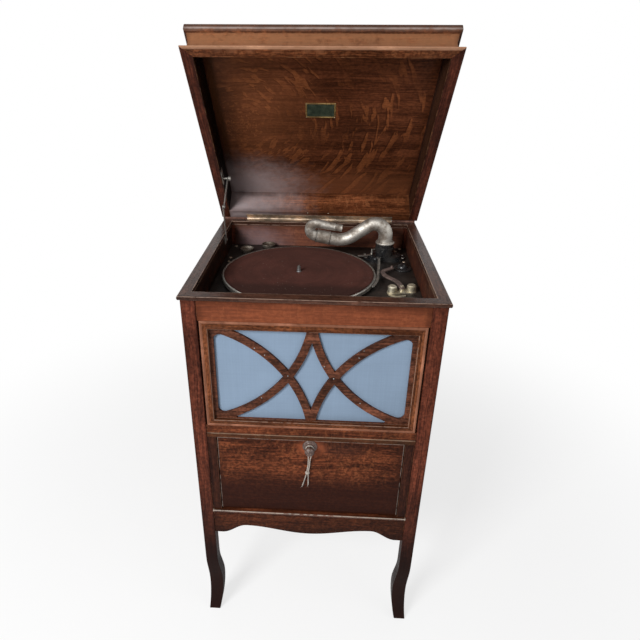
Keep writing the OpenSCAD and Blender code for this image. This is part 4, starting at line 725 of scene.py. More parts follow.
def plaque_ground():
    """Bare dark-green varnish with fine cracks along the borders of cells."""
    g = Finish("plaque ground")
    place = object_place(g, on_the_lid=True)
    crack = g.add("ShaderNodeTexVoronoi", {"Vector": place, "Scale": 330.0},
                  feature="DISTANCE_TO_EDGE").outputs[0]
    lines = g.step(crack, 0.0, 0.06, 1.0, 0.0)
    cloud = g.noise(place, scale=90.0, detail=4.0)
    color = g.mix(g.step(cloud, 0.35, 0.7), (0.010, 0.020, 0.014), (0.035, 0.048, 0.030))
    return g.coat(g.mix(g.times(lines, 0.4), color, (0.09, 0.075, 0.04)),
                  g.step(cloud, 0.3, 0.7, 0.28, 0.5), g.minus(cloud, lines), 0.3, 0.0001)


def gilt():
    return metal_finish("worn gilt", (0.62, 0.43, 0.17), (0.20, 0.12, 0.05), 0.62, 0.38)


# ---- CAD nodes ----

def dress(node, finish, bevel=0.0, angle=32):
    """Gives a CAD node its finish. A bevel needs its loose triangles joined and its flat faces
    whole, and weighted normals keep those faces flat between the rounded edges."""
    part = frame["nodes"][node]
    part.data.materials.clear()
    part.data.materials.append(finish)
    if bevel:
        part.modifiers.new("joined", "WELD").merge_threshold = WELD
        flat = part.modifiers.new("flat faces", "DECIMATE")
        flat.decimate_type, flat.angle_limit = "DISSOLVE", math.radians(0.6)
        edge = part.modifiers.new("eased edges", "BEVEL")
        edge.width, edge.segments, edge.limit_method = bevel, 2, "ANGLE"
        edge.angle_limit, edge.use_clamp_overlap = math.radians(angle), True
        part.modifiers.new("normals", "WEIGHTED_NORMAL").keep_sharp = False
    return part


def board_box(node, paired=False):
    """Centre and half size of a board, folded onto one side of each plane through the origin. Of
    a pair that stands on both sides it is the right-hand one's, from its own points."""
    points = np.empty(3 * len(frame["nodes"][node].data.vertices), np.float32)
    frame["nodes"][node].data.vertices.foreach_get("co", points)
    points = points.reshape(-1, 3).astype(float)
    if paired:
        points = points[points[:, 0] > 0]
    a, b = points.min(0), points.max(0)
    across = a * b < 0
    return (tuple(map(float, np.where(across, 0, abs(a + b) / 2))),
            tuple(map(float, np.where(across, np.maximum(abs(a), abs(b)), (b - a) / 2))))


# Dark, light and fleck colour of each stain
STAIN = {
    "front": ((0.040, 0.0100, 0.0042), (0.150, 0.0410, 0.0160), (0.185, 0.058, 0.022)),
    "post": ((0.036, 0.0090, 0.0050), (0.128, 0.0330, 0.0170), (0.150, 0.043, 0.023)),
    "dark": ((0.022, 0.0065, 0.0040), (0.070, 0.0200, 0.0100), (0.095, 0.030, 0.015)),
    "rim": ((0.036, 0.0140, 0.0085), (0.100, 0.0430, 0.0270), (0.115, 0.054, 0.034)),
    "pale": ((0.070, 0.0200, 0.0075), (0.225, 0.0740, 0.0290), (0.260, 0.098, 0.040)),
    "lid": ((0.050, 0.0145, 0.0062), (0.125, 0.0380, 0.0160), (0.215, 0.067, 0.024)),
    "fret": ((0.038, 0.0140, 0.0080), (0.125, 0.0440, 0.0240), (0.140, 0.054, 0.030)),
    "inside": ((0.045, 0.022, 0.013), (0.110, 0.055, 0.031), (0.130, 0.068, 0.040)),
}


# ---- Sizes and colours a user would change ----

class CameraSettings(bpy.types.PropertyGroup):
    place: bpy.props.FloatVectorProperty(name="Place", description="Place of the lens", size=3,
        default=(0.0177, -1.03023, 1.1438), subtype="TRANSLATION", unit="LENGTH")
    yaw: bpy.props.FloatProperty(name="Yaw", description="Turn about the upright axis",
        default=math.radians(-3.23), subtype="ANGLE", unit="ROTATION")
    pitch: bpy.props.FloatProperty(name="Pitch", description="Downward tilt",
        default=math.radians(27.39), subtype="ANGLE", unit="ROTATION")
    roll: bpy.props.FloatProperty(name="Roll", description="Turn about the line of sight",
        default=math.radians(0.30), subtype="ANGLE", unit="ROTATION")
    lens: bpy.props.FloatProperty(name="Lens", description="Focal length in millimetres",
        default=30.41, min=10, max=200)


class StringSettings(bpy.types.PropertyGroup):
    thickness: bpy.props.FloatProperty(name="Thickness", description="Diameter of the string",
        default=0.0022, min=0.001, max=0.004, unit="LENGTH")
    lay: bpy.props.FloatProperty(name="Lay", description="Length of one turn of its twist",
        default=0.0052, min=0.002, max=0.02, unit="LENGTH")
    color: bpy.props.FloatVectorProperty(name="Colour", description="Colour of clean cotton",
        default=(0.42, 0.37, 0.32), size=3, min=0, max=1, subtype="COLOR")


class OakSettings(bpy.types.PropertyGroup):
    figure: bpy.props.FloatProperty(name="Figure", description="Strength of the ray flecks",
        default=1.0, min=0, max=2, subtype="FACTOR")
    dullness: bpy.props.FloatProperty(name="Dullness", description="Added roughness of the varnish",
        default=0.0, min=-0.2, max=0.4, subtype="FACTOR")
    wear_width: bpy.props.FloatProperty(name="Wear", description="Share of the worn edges' width",
        default=1.0, min=0, max=3, subtype="FACTOR")
    worn_color: bpy.props.FloatVectorProperty(name="Worn Wood", description="Colour of bare wood",
        default=(0.22, 0.105, 0.050), size=3, min=0, max=1, subtype="COLOR")
    bevel: bpy.props.FloatProperty(name="Eased Edge", description="Rounding of the wood's edges",
        default=0.0009, min=0, max=0.003, unit="LENGTH")


class MetalSettings(bpy.types.PropertyGroup):
    nickel: bpy.props.FloatVectorProperty(name="Nickel", description="Colour of clean nickel plate",
        default=(0.46, 0.435, 0.395), size=3, min=0, max=1, subtype="COLOR")
    brass: bpy.props.FloatVectorProperty(name="Brass", description="Colour of clean brass",
        default=(0.60, 0.475, 0.360), size=3, min=0, max=1, subtype="COLOR")
    bevel: bpy.props.FloatProperty(name="Eased Edge", description="Rounding of the metal's edges",
        default=0.00025, min=0, max=0.001, unit="LENGTH")


class ClothSettings(bpy.types.PropertyGroup):
    blue: bpy.props.FloatVectorProperty(name="Grille Cloth", description="Colour of the cloth",
        default=(0.200, 0.270, 0.364), size=3, min=0, max=1, subtype="COLOR")
    felt: bpy.props.FloatVectorProperty(name="Felt", description="Colour of the turntable's felt",
        default=(0.070, 0.0215, 0.0160), size=3, min=0, max=1, subtype="COLOR")
    thread: bpy.props.FloatProperty(name="Thread", description="Width of two threads of the cloth",
        default=0.0016, min=0.0004, max=0.005, unit="LENGTH")
    slack: bpy.props.FloatProperty(name="Slack", description="Depth of the cloth's waves",
        default=0.0004, min=0, max=0.001, unit="LENGTH")


class StageSettings(bpy.types.PropertyGroup):
    key: bpy.props.FloatProperty(name="Key Lamp", description="Power of the lamp at the front left",
        default=64.0, min=0, max=500, unit="POWER")
    fill: bpy.props.FloatProperty(name="Fill Lamp", description="Power of the lamp at the right",
        default=6.0, min=0, max=500, unit="POWER")
    ambient: bpy.props.FloatProperty(name="Ambient", description="Even light from all round",
        default=0.34, min=0, max=2, subtype="FACTOR")
    floor: bpy.props.FloatVectorProperty(name="Floor", description="Colour of the floor",
        default=(0.86, 0.86, 0.86), size=3, min=0, max=1, subtype="COLOR")


# ---- Camera and string ----

class GRAMOPHONE_OT_camera(bpy.types.Operator):
    """Stand the camera where the cabinet was seen from, with the picture's slight shift"""
    bl_idname = "gramophone.camera"
    bl_label = "Camera"

    def execute(self, context):
        set_ = context.scene.cabinet_camera
        cp, sp = math.cos(set_.pitch), math.sin(set_.pitch)
        cy, sy = math.cos(set_.yaw), math.sin(set_.yaw)
        ahead, right = Vector((sy * cp, cy * cp, -sp)), Vector((cy, -sy, 0))
        up = right.cross(ahead)
        cr, sr = math.cos(set_.roll), math.sin(set_.roll)
        right, up = cr * right + sr * up, cr * up - sr * right
        lens = bpy.data.cameras.new("camera")
        lens.sensor_width, lens.lens = 36, set_.lens
        lens.shift_x, lens.shift_y = 0.0375, 0.0095
        lens.clip_start, lens.clip_end = 0.02, 30
        camera = bpy.data.objects.new("camera", lens)
        turn = Matrix((right, up, -ahead)).transposed().to_4x4()
        camera.matrix_world = Matrix.Translation(set_.place) @ turn
        context.scene.collection.objects.link(camera)
        context.scene.camera = camera
        return {"FINISHED"}


# Route of the string from one tail to the other, in millimetres: across, in front of the flap,
# and up from the middle of the knob
STRING_ROUTE = np.array([
    [-12.5, 3.2, -94], [-10.6, 3.4, -86], [-8.4, 3.8, -77], [-6.4, 4.4, -68], [-5.0, 4.8, -60],
    [-3.6, 5, -50], [-2.6, 5.2, -40], [-2.2, 5.6, -30], [-2.6, 6.2, -20], [-4.8, 6.9, -11],
    [-7.2, 7.4, -3], [-6.3, 7.8, 3.6], [-3.6, 8, 6.6], [0, 8.1, 7.5], [3.6, 8, 6.6],
    [6.3, 7.8, 3.6], [7.2, 7.4, -3], [5.4, 6.9, -11], [2.6, 6.2, -20], [0.8, 5.6, -30],
    [0.2, 5.2, -40], [-0.8, 5, -50], [-2.0, 4.8, -60], [-2.0, 4.4, -68], [-1.9, 3.8, -77],
    [-1.8, 3.4, -86], [-2.0, 3.2, -92]])
KNOT_AT = np.array([-3.6, 4.8, -61])


def from_knob(points):
    """Places round the knob, given across, in front of the flap and up from its middle."""
    x, out, z = np.moveaxis(np.asarray(points, float) * MM, -1, 0)
    knob = middle("flap_knob")
    return np.stack([knob[0] + x, low("flap")[1] - out, knob[2] + z], -1)


class GRAMOPHONE_OT_string(bpy.types.Operator):
    """Tie the cotton string to the knob, with its knot and frayed ends"""
    bl_idname = "gramophone.string"
    bl_label = "Knob String"

    def execute(self, context):
        set_ = context.scene.cabinet_string
        route = from_knob(STRING_ROUTE)
        line = smooth_line(route, 20)
        run = lengths(line)
        sides = 14
        w = circle(sides)
        # Two plies: the radius swells twice in each turn round the string, and turns with the lay
        swell = np.abs(np.cos(w[None] - np.pi * run[:, None] / set_.lay))
        radius = set_.thickness / 2 * (0.80 + 0.24 * swell)
        cotton = string_cotton()
        string = new_piece("string", [swept(line, radius, sides)], cotton, "flap")
        # The knot: two and a half turns of a flat coil round both tails, drawn tight
        a = np.linspace(0, 2 * np.pi * 2.5, 90)
        coil = KNOT_AT + np.stack([3.3 * np.cos(a) - 0.2 * np.sin(2 * a),
                                   1.9 * np.sin(a), 2.1 * (a / a[-1] - 0.5) * 2
                                   + 0.5 * np.sin(a)], -1)
        knot = new_piece("string_knot", [swept(from_knob(coil), 0.00095, 10, (0, 0, 1))], cotton,
                         "flap")
        # Frayed ends: thin fibres that leave each tail along its own way and part from it
        rng = np.random.default_rng(7)
        frays = []
        for end, before in ((route[0], route[1]), (route[-1], route[-2])):
            way = unit(end - before)
            for _ in range(7):
                part = rng.normal(size=3) * np.array([0.35, 0.10, 0.2])
                s = np.linspace(0, 1, 8)[:, None]
                fibre = end - way * 0.001 + s * way * 0.0065 + s ** 2 * part * 0.006
                fibre[:, 1] = np.minimum(fibre[:, 1], low("flap")[1] - 0.0006)
                frays.append(swept(fibre, 0.00022 * (1.25 - s[:, 0])[:, None], 5))
        fray = new_piece("string_frays", frays, cotton, "flap")
        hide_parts("knob_string")
        return {"FINISHED"}


# ---- Wood ----

class GRAMOPHONE_OT_case_wood(bpy.types.Operator):
    """Stain the posts, rails, boards, flap and horn of the case"""
    bl_idname = "gramophone.case_wood"
    bl_label = "Case Wood"

    def execute(self, context):
        ease = context.scene.cabinet_oak.bevel
        # node: stain, grain, figure, fleck size, roughness, seed, wear, bevel, mottle
        boards = {
            "front_posts": ("post", "Z", 0.25, 0.5, 0.34, 0.0, 0.55, 1.2, 0.35),
            "back_posts": ("post", "Z", 0.25, 0.5, 0.38, 1.7, 0.55, 1.2, 0.35),
            "flap_stiles": ("dark", "Z", 0.15, 0.5, 0.36, 3.1, 0.25, 0.5, 0.3),
            "front_apron": ("front", "X", 0.35, 0.6, 0.36, 5.3, 0.60, 0.8, 0.5),
            "left_panel": ("front", "Z", 0.80, 1.0, 0.36, 6.1, 0.45, 0.8, 0.3),
            "right_panel": ("front", "Z", 0.80, 1.0, 0.36, 7.9, 0.45, 0.8, 0.3),
            "back_panel": ("inside", "X", 0.30, 1.2, 0.55, 8.3, 0.40, 0.8, 0.2),
            "bottom_board": ("inside", "X", 0.20, 1.0, 0.60, 10.3, 0.30, 0.6, 0.2),
            "horn_shelf": ("inside", "X", 0.20, 1.0, 0.60, 11.7, 0.30, 0.6, 0.2),
            "grille_frame": ("dark", "X", 0.15, 0.9, 0.50, 12.1, 0.20, 0.5, 0.3),
            "horn": ("inside", "Y", 0.15, 1.0, 0.60, 13.3, 0.20, 0.6, 0.2),
            "board_bearers": ("inside", "X", 0.10, 0.8, 0.60, 14.9, 0.20, 0.5, 0.2),
        }
        # The legs, and the boards near the floor with them, are painted darker low down: painted
        # shade
        low_shade = ((0, 0, 0), 0.17, 0.40, (0, 0, 1), 0.97, (0.008, 0.0022, 0.0014))
        # Inner faces of the side panels are painted darker: painted shade, near black on the left
        # one and dull on the right one
        face = high("left_panel")[0]
        inner = {"left_panel": ((0, face - 0.0008, face + 0.002, 0.97, (0.003, 0.0015, 0.001)),),
                 "right_panel": ((0, -face - 0.002, -face + 0.0008, 0.75,
                                  (0.040, 0.017, 0.013)),)}
        for node, (stain, grain, figure, size, rough, seed, wear, eased, dabs) in boards.items():
            finish = oak_finish("oak " + node, *STAIN[stain], figure, size, grain, rough, seed,
                                box=board_box(node, "posts" in node or "stiles" in node), wear=wear,
                                mottle=dabs, stripes=inner.get(node, ()),
                                patches=(low_shade,) if node in ("front_posts", "back_posts",
                                                                 "front_apron") else ())
            dress(node, finish, ease * eased)
        # The rail over the flap has a light line that is a painted highlight of its edge, above a
        # dull band, and the top rail is redder
        top = high("flap")[2]
        bands = ((2, top + 0.0096, top + 0.0118, 0.6, (0.36, 0.25, 0.17)),
                 (2, top, top + 0.0090, 0.25, (0.10, 0.065, 0.030)))
        redder = ((0, 0, 0.760), 0.04, 0.06, (0, 0, 1), 0.42, (0.250, 0.070, 0.032))
        rails = oak_finish("oak front_rails", *STAIN["front"], 0.30, 0.5, "X", 0.32, 2.3,
                           box=board_box("front_rails"), wear=0.45, mottle=0.4, stripes=bands,
                           patches=(redder,))
        dress("front_rails", rails, ease * 0.8)
        # The ledge bead's bright line along its edge is a painted highlight
        bead = oak_finish("oak ledge_bead", *STAIN["front"], 0.1, 0.5, "X", 0.30, 4.7,
                          box=board_box("ledge_bead"), wear=0.7, gloss=0.3,
                          edge=(0.85, (0.36, 0.31, 0.26)))
        dress("ledge_bead", bead, ease * 0.5)
        # The rail behind the turntable is dull all over, with a painted sheen of reflected light at
        # its left, and its left end painted dark as shade
        _, y, z = low("back_rail")
        dull = ((0, 0, 0), 5, 9, (1, 1, 1), 0.55, (0.125, 0.052, 0.042))
        painted_sheen = ((-0.150, y, z), 0.01, 0.12, (1, 1, 1), 0.6, (0.24, 0.18, 0.19))
        shaded_end = ((-0.222, 0, 0), 0.02, 0.065, (1, 0, 0), 0.9, (0.006, 0.003, 0.002))
        rail = oak_finish("oak back_rail", *STAIN["pale"], 0.30, 0.7, "X", 0.34, 9.1,
                          box=board_box("back_rail"), wear=0.30,
                          patches=(dull, painted_sheen, shaded_end))
        dress("back_rail", rail, ease * 0.8)
        # Fingers have rubbed the flap round its knob; to its right and towards its foot the flap is
        # painted darker: painted shade
        x, _, z = middle("flap_knob")
        rubbed = ((x + 0.003, 0, z - 0.004), 0.017, 0.036, (1, 0, 1.4), 0.75, (0.27, 0.072, 0.030))
        shade_beside_knob = ((x + 0.060, 0, z - 0.004), 0.010, 0.070, (1, 0, 2.2), 0.45,
                  (0.030, 0.012, 0.009))
        flap_foot_shade = ((0, 0, low("flap")[2]), 0.055, 0.120, (0, 0, 1), 0.92,
                       (0.018, 0.0042, 0.0024))
        flap = oak_finish("oak flap", *STAIN["front"], 0.30, 0.42, "X", 0.34, 15.7,
                          box=board_box("flap"), wear=0.25, mottle=0.55,
                          edge=(0.45, (0.30, 0.25, 0.22)),
                          patches=(rubbed, shade_beside_knob, flap_foot_shade))
        dress("flap", flap, ease)
        dress("flap_knob", oak_finish("oak knob", (0.05, 0.026, 0.020), (0.125, 0.078, 0.062),
              (0.14, 0.09, 0.07), 0.0, 0.6, "Y", 0.26, 16.9, gloss=0.4), 0.0003)
        a, b = low("rim"), high("rim")
        centre = ((a[0] + b[0]) / 2, (a[1] + b[1]) / 2, 0)
        rim = oak_finish("oak rim", *STAIN["rim"], 0.30, 0.5, "X", 0.28, 17.3,
                         bars=("top", centre, (b[0] - a[0]) / 2, (b[1] - a[1]) / 2, 0.021,
                               a[2], b[2]), wear=0.6, width=0.0016, gloss=0.10,
                         edge=(0.6, (0.38, 0.27, 0.21)))
        dress("rim", rim, 0.0006)
        # Two slips of wood close the ends of the joint behind the hinge: boxes given by their
        # corners, clear of the lid's lower back edge as it swings
        steps = np.array([[0, 0, 0], [1, 0, 0], [1, 1, 0], [0, 1, 0],
                          [0, 0, 1], [1, 0, 1], [1, 1, 1], [0, 1, 1]])
        sides = np.array([[0, 3, 2, 1], [4, 5, 6, 7], [0, 1, 5, 4], [1, 2, 6, 5], [2, 3, 7, 6],
                          [3, 0, 4, 7]])
        slips = []
        hinge_end, case_end = 0.1695, 0.2222
        for side in (-1, 1):
            ends = sorted((side * hinge_end, side * case_end))
            a = np.array([ends[0], HINGE[1] - 0.0010, HINGE[2] - 0.0110])
            b = np.array([ends[1], HINGE[1] + 0.0020, HINGE[2] + 0.0024])
            slips.append((a + steps * (b - a), sides, np.zeros((6, 4, 2))))
        slip = oak_finish("oak slips", (0.09, 0.042, 0.032), (0.200, 0.105, 0.080),
                          (0.2, 0.11, 0.09), 0.0, 0.5, "X", 0.4, 18.1)
        new_piece("hinge_slips", slips, slip, "case", smooth=False)
        return {"FINISHED"}


class GRAMOPHONE_OT_lid_wood(bpy.types.Operator):
    """Stain the moulded rails and the figured panel of the lid"""
    bl_idname = "gramophone.lid_wood"
    bl_label = "Lid Wood"

    def execute(self, context):
        ease = context.scene.cabinet_oak.bevel
        half = high("lid_side_rails")[0]
        # Places on the shut lid: across, back from the hinge as a negative length, and up. The
        # boxes, centre and half size, are folded onto positive sides.
        wall, length, back, tall = 0.020, 0.4568, 0.0028, LID_TALL
        thin, rise, back_wall = wall / 2, tall / 2, 0.012
        panel_wide, panel_middle, panel_deep, panel_thin = 0.2155, 0.2258, 0.219, 0.004
        boxes = {
            "lid_front_rail": ((0, length - thin, rise), (half, thin, rise)),
            "lid_side_rails": ((half - thin, length / 2, rise), (thin, length / 2, rise)),
            "lid_back_rail": ((0, back + back_wall, rise), (half - wall, back_wall, rise)),
            "lid_panel": ((0, panel_middle, tall + panel_thin),
                          (panel_wide, panel_deep, panel_thin)),
        }
        cove, bead = (0.225, 0.098, 0.046), (0.085, 0.052, 0.038)
        # Bands of the moulding by height: cove, quirk painted dark as shade, bead, a painted
        # highlight on the bead's crown, lower edge
        moulded = ((2, 0.0015, 0.0400, 0.85, cove), (2, 0.0400, 0.0415, 0.8, (0.045, 0.018, 0.010)),
                   (2, 0.0415, 0.0580, 0.75, bead), (2, 0.0440, 0.0482, 0.60, (0.42, 0.34, 0.31)),
                   (2, 0.0014, 0.0056, 0.80, (0.50, 0.25, 0.14)))
        # The inner faces of the side rails are painted dark: painted shade, near black on the left
        unlit = (0.0015, 0.0008, 0.0006)
        inner = (((wall - half, 0, 0), 0.0012, 0.0016, (1, 0, 0), 1.0, unlit),
                 ((half - wall, 0, 0), 0.0008, 0.0012, (1, 0, 0), 0.88, (0.012, 0.0055, 0.004)))
        # Thumbs have worn spots along the underside of the front rail
        worn = tuple(((x * MM, -0.452, 0.0), 0.003, 0.011, (1, 1.0, 1), 0.55, (0.22, 0.085, 0.040))
                     for x in (-166, -146, -140, -114, -70, -22, 0))
        # The lip under the cove is rubbed to bare wood where hands lift the lid
        worn += (((0, -length, 0), 0.0026, 0.0064, (0, 1, 1), 0.95, (0.62, 0.33, 0.20)),)
        sheen = (0.37, 0.315, 0.32)
        # node: stain, grain, figure, fleck size, seed, wear, bevel, mottle, eye, stripes, patches
        boards = {
            "lid_front_rail": ("pale", "X", 0.25, 0.5, 20.3, 0.60, 0.7, 0.5, None, moulded, worn),
            "lid_side_rails": ("post", "Y", 0.15, 0.5, 21.1, 0.45, 0.7, 0.3, None,
                               moulded[:3], inner),
            "lid_back_rail": ("pale", "X", 0.35, 0.5, 22.7, 0.20, 0.8, 0.3, None, (),
                              (((-0.185, -0.012, 0.0), 0.0, 0.20, (1, 1, 1), 0.80, sheen),)),
            # On the panel: painted shadow along its left edge and at its front end, a lighter band
            # near the hinge that is painted light, a lighter patch, and a painted sheen
            "lid_panel": ("lid", "X", 0.75, 0.62, 23.9, 0.15, 0.8, 0.25, (-0.165, -0.233), (),
                          (((-panel_wide, 0, tall), 0.020, 0.030, (1, 0, 8), 0.94, unlit),
                           ((0, -panel_middle - panel_deep, tall), 0.013, 0.020, (0, 1, 8), 0.75,
                            unlit),
                           ((0, 0, 0), 0.05, 0.13, (0, 1, 0), 0.50, (0.210, 0.072, 0.030)),
                           ((-0.175, -0.265, tall), 0.05, 0.22, (1, 0.9, 0), 0.35,
                            (0.190, 0.066, 0.026)),
                           ((-0.185, -0.040, tall), 0.0, 0.20, (0.9, 1.5, 25), 0.80, sheen))),
        }
        for node, (stain, grain, figure, size, seed, wear, eased, dabs, eye, stripes,
                   patches) in boards.items():
            finish = oak_finish("oak " + node, *STAIN[stain], figure, size, grain, 0.34, seed,
                                on_the_lid=True, box=boxes[node], wear=wear, mottle=dabs, eye=eye,
                                stripes=stripes, patches=patches)
            dress(node, finish, ease * eased)
        return {"FINISHED"}


# ---- Grille ----

# Small nails that hold the fretwork: across, and up from the middle of the grille
FRET_PINS = [(-98.5, 56.2), (-81.2, 43.3), (-41.4, 2.4), (-88.9, -46.1), (22.1, 24.0), (39.0, 0.0),
             (80.9, 43.8), (88.5, 57.9), (88.0, -50.0)]


class GRAMOPHONE_OT_grille(bpy.types.Operator):
    """Stretch the blue cloth, finish the fretwork and its moulding, and set the nails"""
    bl_idname = "gramophone.grille"
    bl_label = "Grille"

    def execute(self, context):
        slack = context.scene.cabinet_cloth.slack
        a, b = low("grille_cloth"), high("grille_cloth")
        wide, tall = 121, 71
        u, v = np.linspace(0, 1, wide), np.linspace(0, 1, tall)
        x = (a[0] + (b[0] - a[0]) * u)[None] + 0 * v[:, None]
        z = (a[2] + (b[2] - a[2]) * v)[:, None] + 0 * u[None]
        # Waves between the tacked edges: none at the edges, and only away from the fretwork
        hold = (np.sin(np.pi * u)[None] * np.sin(np.pi * v)[:, None]) ** 0.4
        waves = [(38, 9, 0.3, 0.5), (17, -31, 1.1, 0.3), (90, 20, 2.0, 0.2)]
        wave = 0.5 + 0.5 * ripple(x, z, waves)
        back = slack * hold * wave
        front = np.stack([x, a[1] + back, z], -1)
        rear = np.stack([x, b[1] + back * 0.9, z], -1)
        faces, ij = grid_faces(tall, wide)
        flat = np.array([b[0] - a[0], b[2] - a[2]])
        places = np.stack([ij[..., 1] / (wide - 1) * flat[0],
                           ij[..., 0] / (tall - 1) * flat[1]], -1)
        parts = [(front, faces, places), (rear, faces[:, ::-1], places[:, ::-1])]
        # Numbers of the points round the edge: along the foot, up, back along the top, and down
        edge = np.concatenate([np.arange(wide), wide * np.arange(2, tall + 1) - 1,
                               wide * (tall - 1) + np.arange(wide - 2, -1, -1),
                               wide * np.arange(tall - 2, 0, -1)])
        wall, steps = grid_faces(2, len(edge), wrap_cols=True)
        parts.append((np.stack([front.reshape(-1, 3)[edge], rear.reshape(-1, 3)[edge]]), wall,
                      steps * 0.0015))
        cloth = new_piece("cloth", parts, grille_cloth(), "case")
        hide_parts("grille_cloth")

        fret = oak_finish("oak fret", *STAIN["fret"], 0.1, 0.5, "X", 0.34, 31.3, mottle=0.45)
        dress("fret", fret, 0.0005, angle=40)
        a, b = low("grille_moulding"), high("grille_moulding")
        mid = (a + b) / 2
        # The tipped frame lies in x and z, with its depth as height
        moulding = oak_finish("oak moulding", *STAIN["pale"], 0.1, 0.5, "X", 0.30, 33.1, mottle=0.5,
                              bars=("front", (mid[0], mid[2], 0), (b[0] - a[0]) / 2,
                                    (b[2] - a[2]) / 2, 0.0145, -b[1], -a[1]),
                              wear=0.35, width=0.0016, grime_and_shade=0.6, edge=(0.60, (0.30, 0.20, 0.15)),
                              stripes=((1, -0.0010, 0.0046, 0.85, (0.46, 0.20, 0.12)),))
        dress("grille_moulding", moulding, 0.0003)
        face = low("fret")[1]
        places = [(x * MM, face - 0.0001, mid[2] + z * MM) for x, z in FRET_PINS]
        new_piece("fret_pins", pin_heads(np.array(places), (0, -1, 0), 0.0012), steel(), "case")
        return {"FINISHED"}


# ---- Lid plaque ----

class GRAMOPHONE_OT_plaque(bpy.types.Operator):
    """Make the small bare plaque inside the lid, with its gilt border"""
    bl_idname = "gramophone.plaque"
    bl_label = "Lid Plaque"

    def execute(self, context):
        forward, thick, corner = 0.2752, 0.0010, 0.0014
        wide, tall, border = 0.029, 0.018, 0.0030

        def face(x, y, height):
            return on_lid(x, forward + y, LID_TALL - height)

        def loops(rows):
            # Each row: how far in from the edge, the corner radius lost, and the share of height
            return [(wide - less, tall - less, cut, thick * up) for less, cut, up in rows]

        rail = loops([(0, 0, 0), (0, 0, 0.7), (0.0004, 0.0002, 1), (0.0012, 0.0006, 1),
                      (0.0015, 0.0008, 0.8), (0.0018, 0.0009, 1), (border - 0.0004, 0.0010, 1),
                      (border, 0.0010, 0.8), (border, 0.0010, 0.55)])
        field = loops([(border - 0.0002, 0.0010, 0.3), (border - 0.0002, 0.0010, 0.62),
                       (border + 0.0004, 0.0010, 0.72)])
        border_piece = new_piece("plaque_border", [rounded_loops(rail, corner, face)], gilt(),
                                 "lid", smooth=False)
        new_piece("plaque_ground", [rounded_loops(field, corner, face)], plaque_ground(), "lid",
                  smooth=False)
        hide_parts("lid_plaque")
        corners = [(sx * (wide - 0.0016), sy * (tall - 0.0016)) for sx in (-1, 1) for sy in (-1, 1)]
        pins = np.array([face(x, y, thick) for x, y in corners])
        normal = face(0.0, 0.0, 1.0) - face(0.0, 0.0, 0.0)
        new_piece("plaque_pins", pin_heads(pins, normal, 0.0008), brass(), "lid")
        return {"FINISHED"}


# ---- Turntable ----

class GRAMOPHONE_OT_turntable(bpy.types.Operator):
    """Lay the felt on the turntable and finish its nickel rim and spindle"""
    bl_idname = "gramophone.turntable"
    bl_label = "Turntable"

    def execute(self, context):
        a, b = low("platter_felt"), high("platter_felt")
        outer, inner, thick = (b[0] - a[0]) / 2, 0.0052, b[2] - a[2]
        edge = 0.0007
        radii = np.linspace(inner + edge, outer - edge, 60)
        profile = np.array([(inner, 0), (inner, thick - edge), *[(r, thick) for r in radii],
                            (outer, thick - edge), (outer, 0)])
        sides = 180
        w = circle(sides)
        x, y = profile[:, :1] * np.cos(w), profile[:, :1] * np.sin(w)
        top = (profile[:, 1] >= thick)[:, None]
        # The felt lies a little uneven: slow waves of a tenth of a millimetre
        waves = ripple(x, y, [(61, 23, 0, 0.5), (-37, 71, 1, 0.5)])
        z = profile[:, 1:] + top * 0.0001 * (waves - 1)
        points = np.stack([x, y, z], -1) + np.array([HUB[0], HUB[1], a[2]])
        points = np.concatenate([points, points[:1]])
        faces, ij = grid_faces(len(points), sides, wrap_cols=True)
        felt = new_piece("felt", [(points, faces, ij * 0.002)], felt_nap(), "turntable")
        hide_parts("platter_felt")
        dress("platter", nickel(), 0.0002, angle=50)
        dress("spindle", steel())
        return {"FINISHED"}


# ---- Tonearm ----

# Slope of the arm at its ferrule, as the way it points
ARM_SLOPE = math.radians(170)
# Length of the ferrule, and radii of the neck at its foot and at the ferrule
FERRULE, FOOT_RADIUS, NECK_RADIUS = 0.0300, 0.015, 0.0135


def neck_line():
    """Centre line of the swan neck in its upright plane, from the pivot: an arch, a straight
    fall, a sweep that turns the other way, and a level part that slopes down."""
    fall, level = math.radians(215), ARM_SLOPE
    r_arch, r_sweep, l_rise, l_fall, l_level = 0.024, 0.050, 0.018, 0.040, 0.012
    foot = ARM[2] - RIM_Z

    def way(a):
        return np.stack([np.cos(a), np.sin(a)], -1)

    def beside(a):
        return np.stack([np.sin(a), -np.cos(a)], -1)

    c_arch = np.array([-r_arch, foot + l_rise])
    rise = np.stack([np.zeros(5), np.linspace(foot + 0.001, c_arch[1], 6)[:-1]], -1)
    a = np.linspace(0, fall - math.pi / 2, 30)
    arch = c_arch + r_arch * way(a)
    p_fall = arch[-1]
    down = p_fall + np.linspace(0, l_fall, 12)[1:, None] * way(fall)
    c_sweep = down[-1] + r_sweep * beside(fall)
    sweep = c_sweep - r_sweep * beside(np.linspace(fall, level, 20)[1:])
    run = sweep[-1] + np.linspace(0, l_level, 6)[1:, None] * way(level)
    line = np.vstack([rise, arch, down, sweep, run])
    collar = sweep[-1] + (l_level + FERRULE) * way(level)
    place = np.array([ARM[0], ARM[1], RIM_Z])
    lift = lambda p: place + np.stack([p[..., 0], 0 * p[..., 0], p[..., 1]], -1)
    return lift(line), lift(collar)


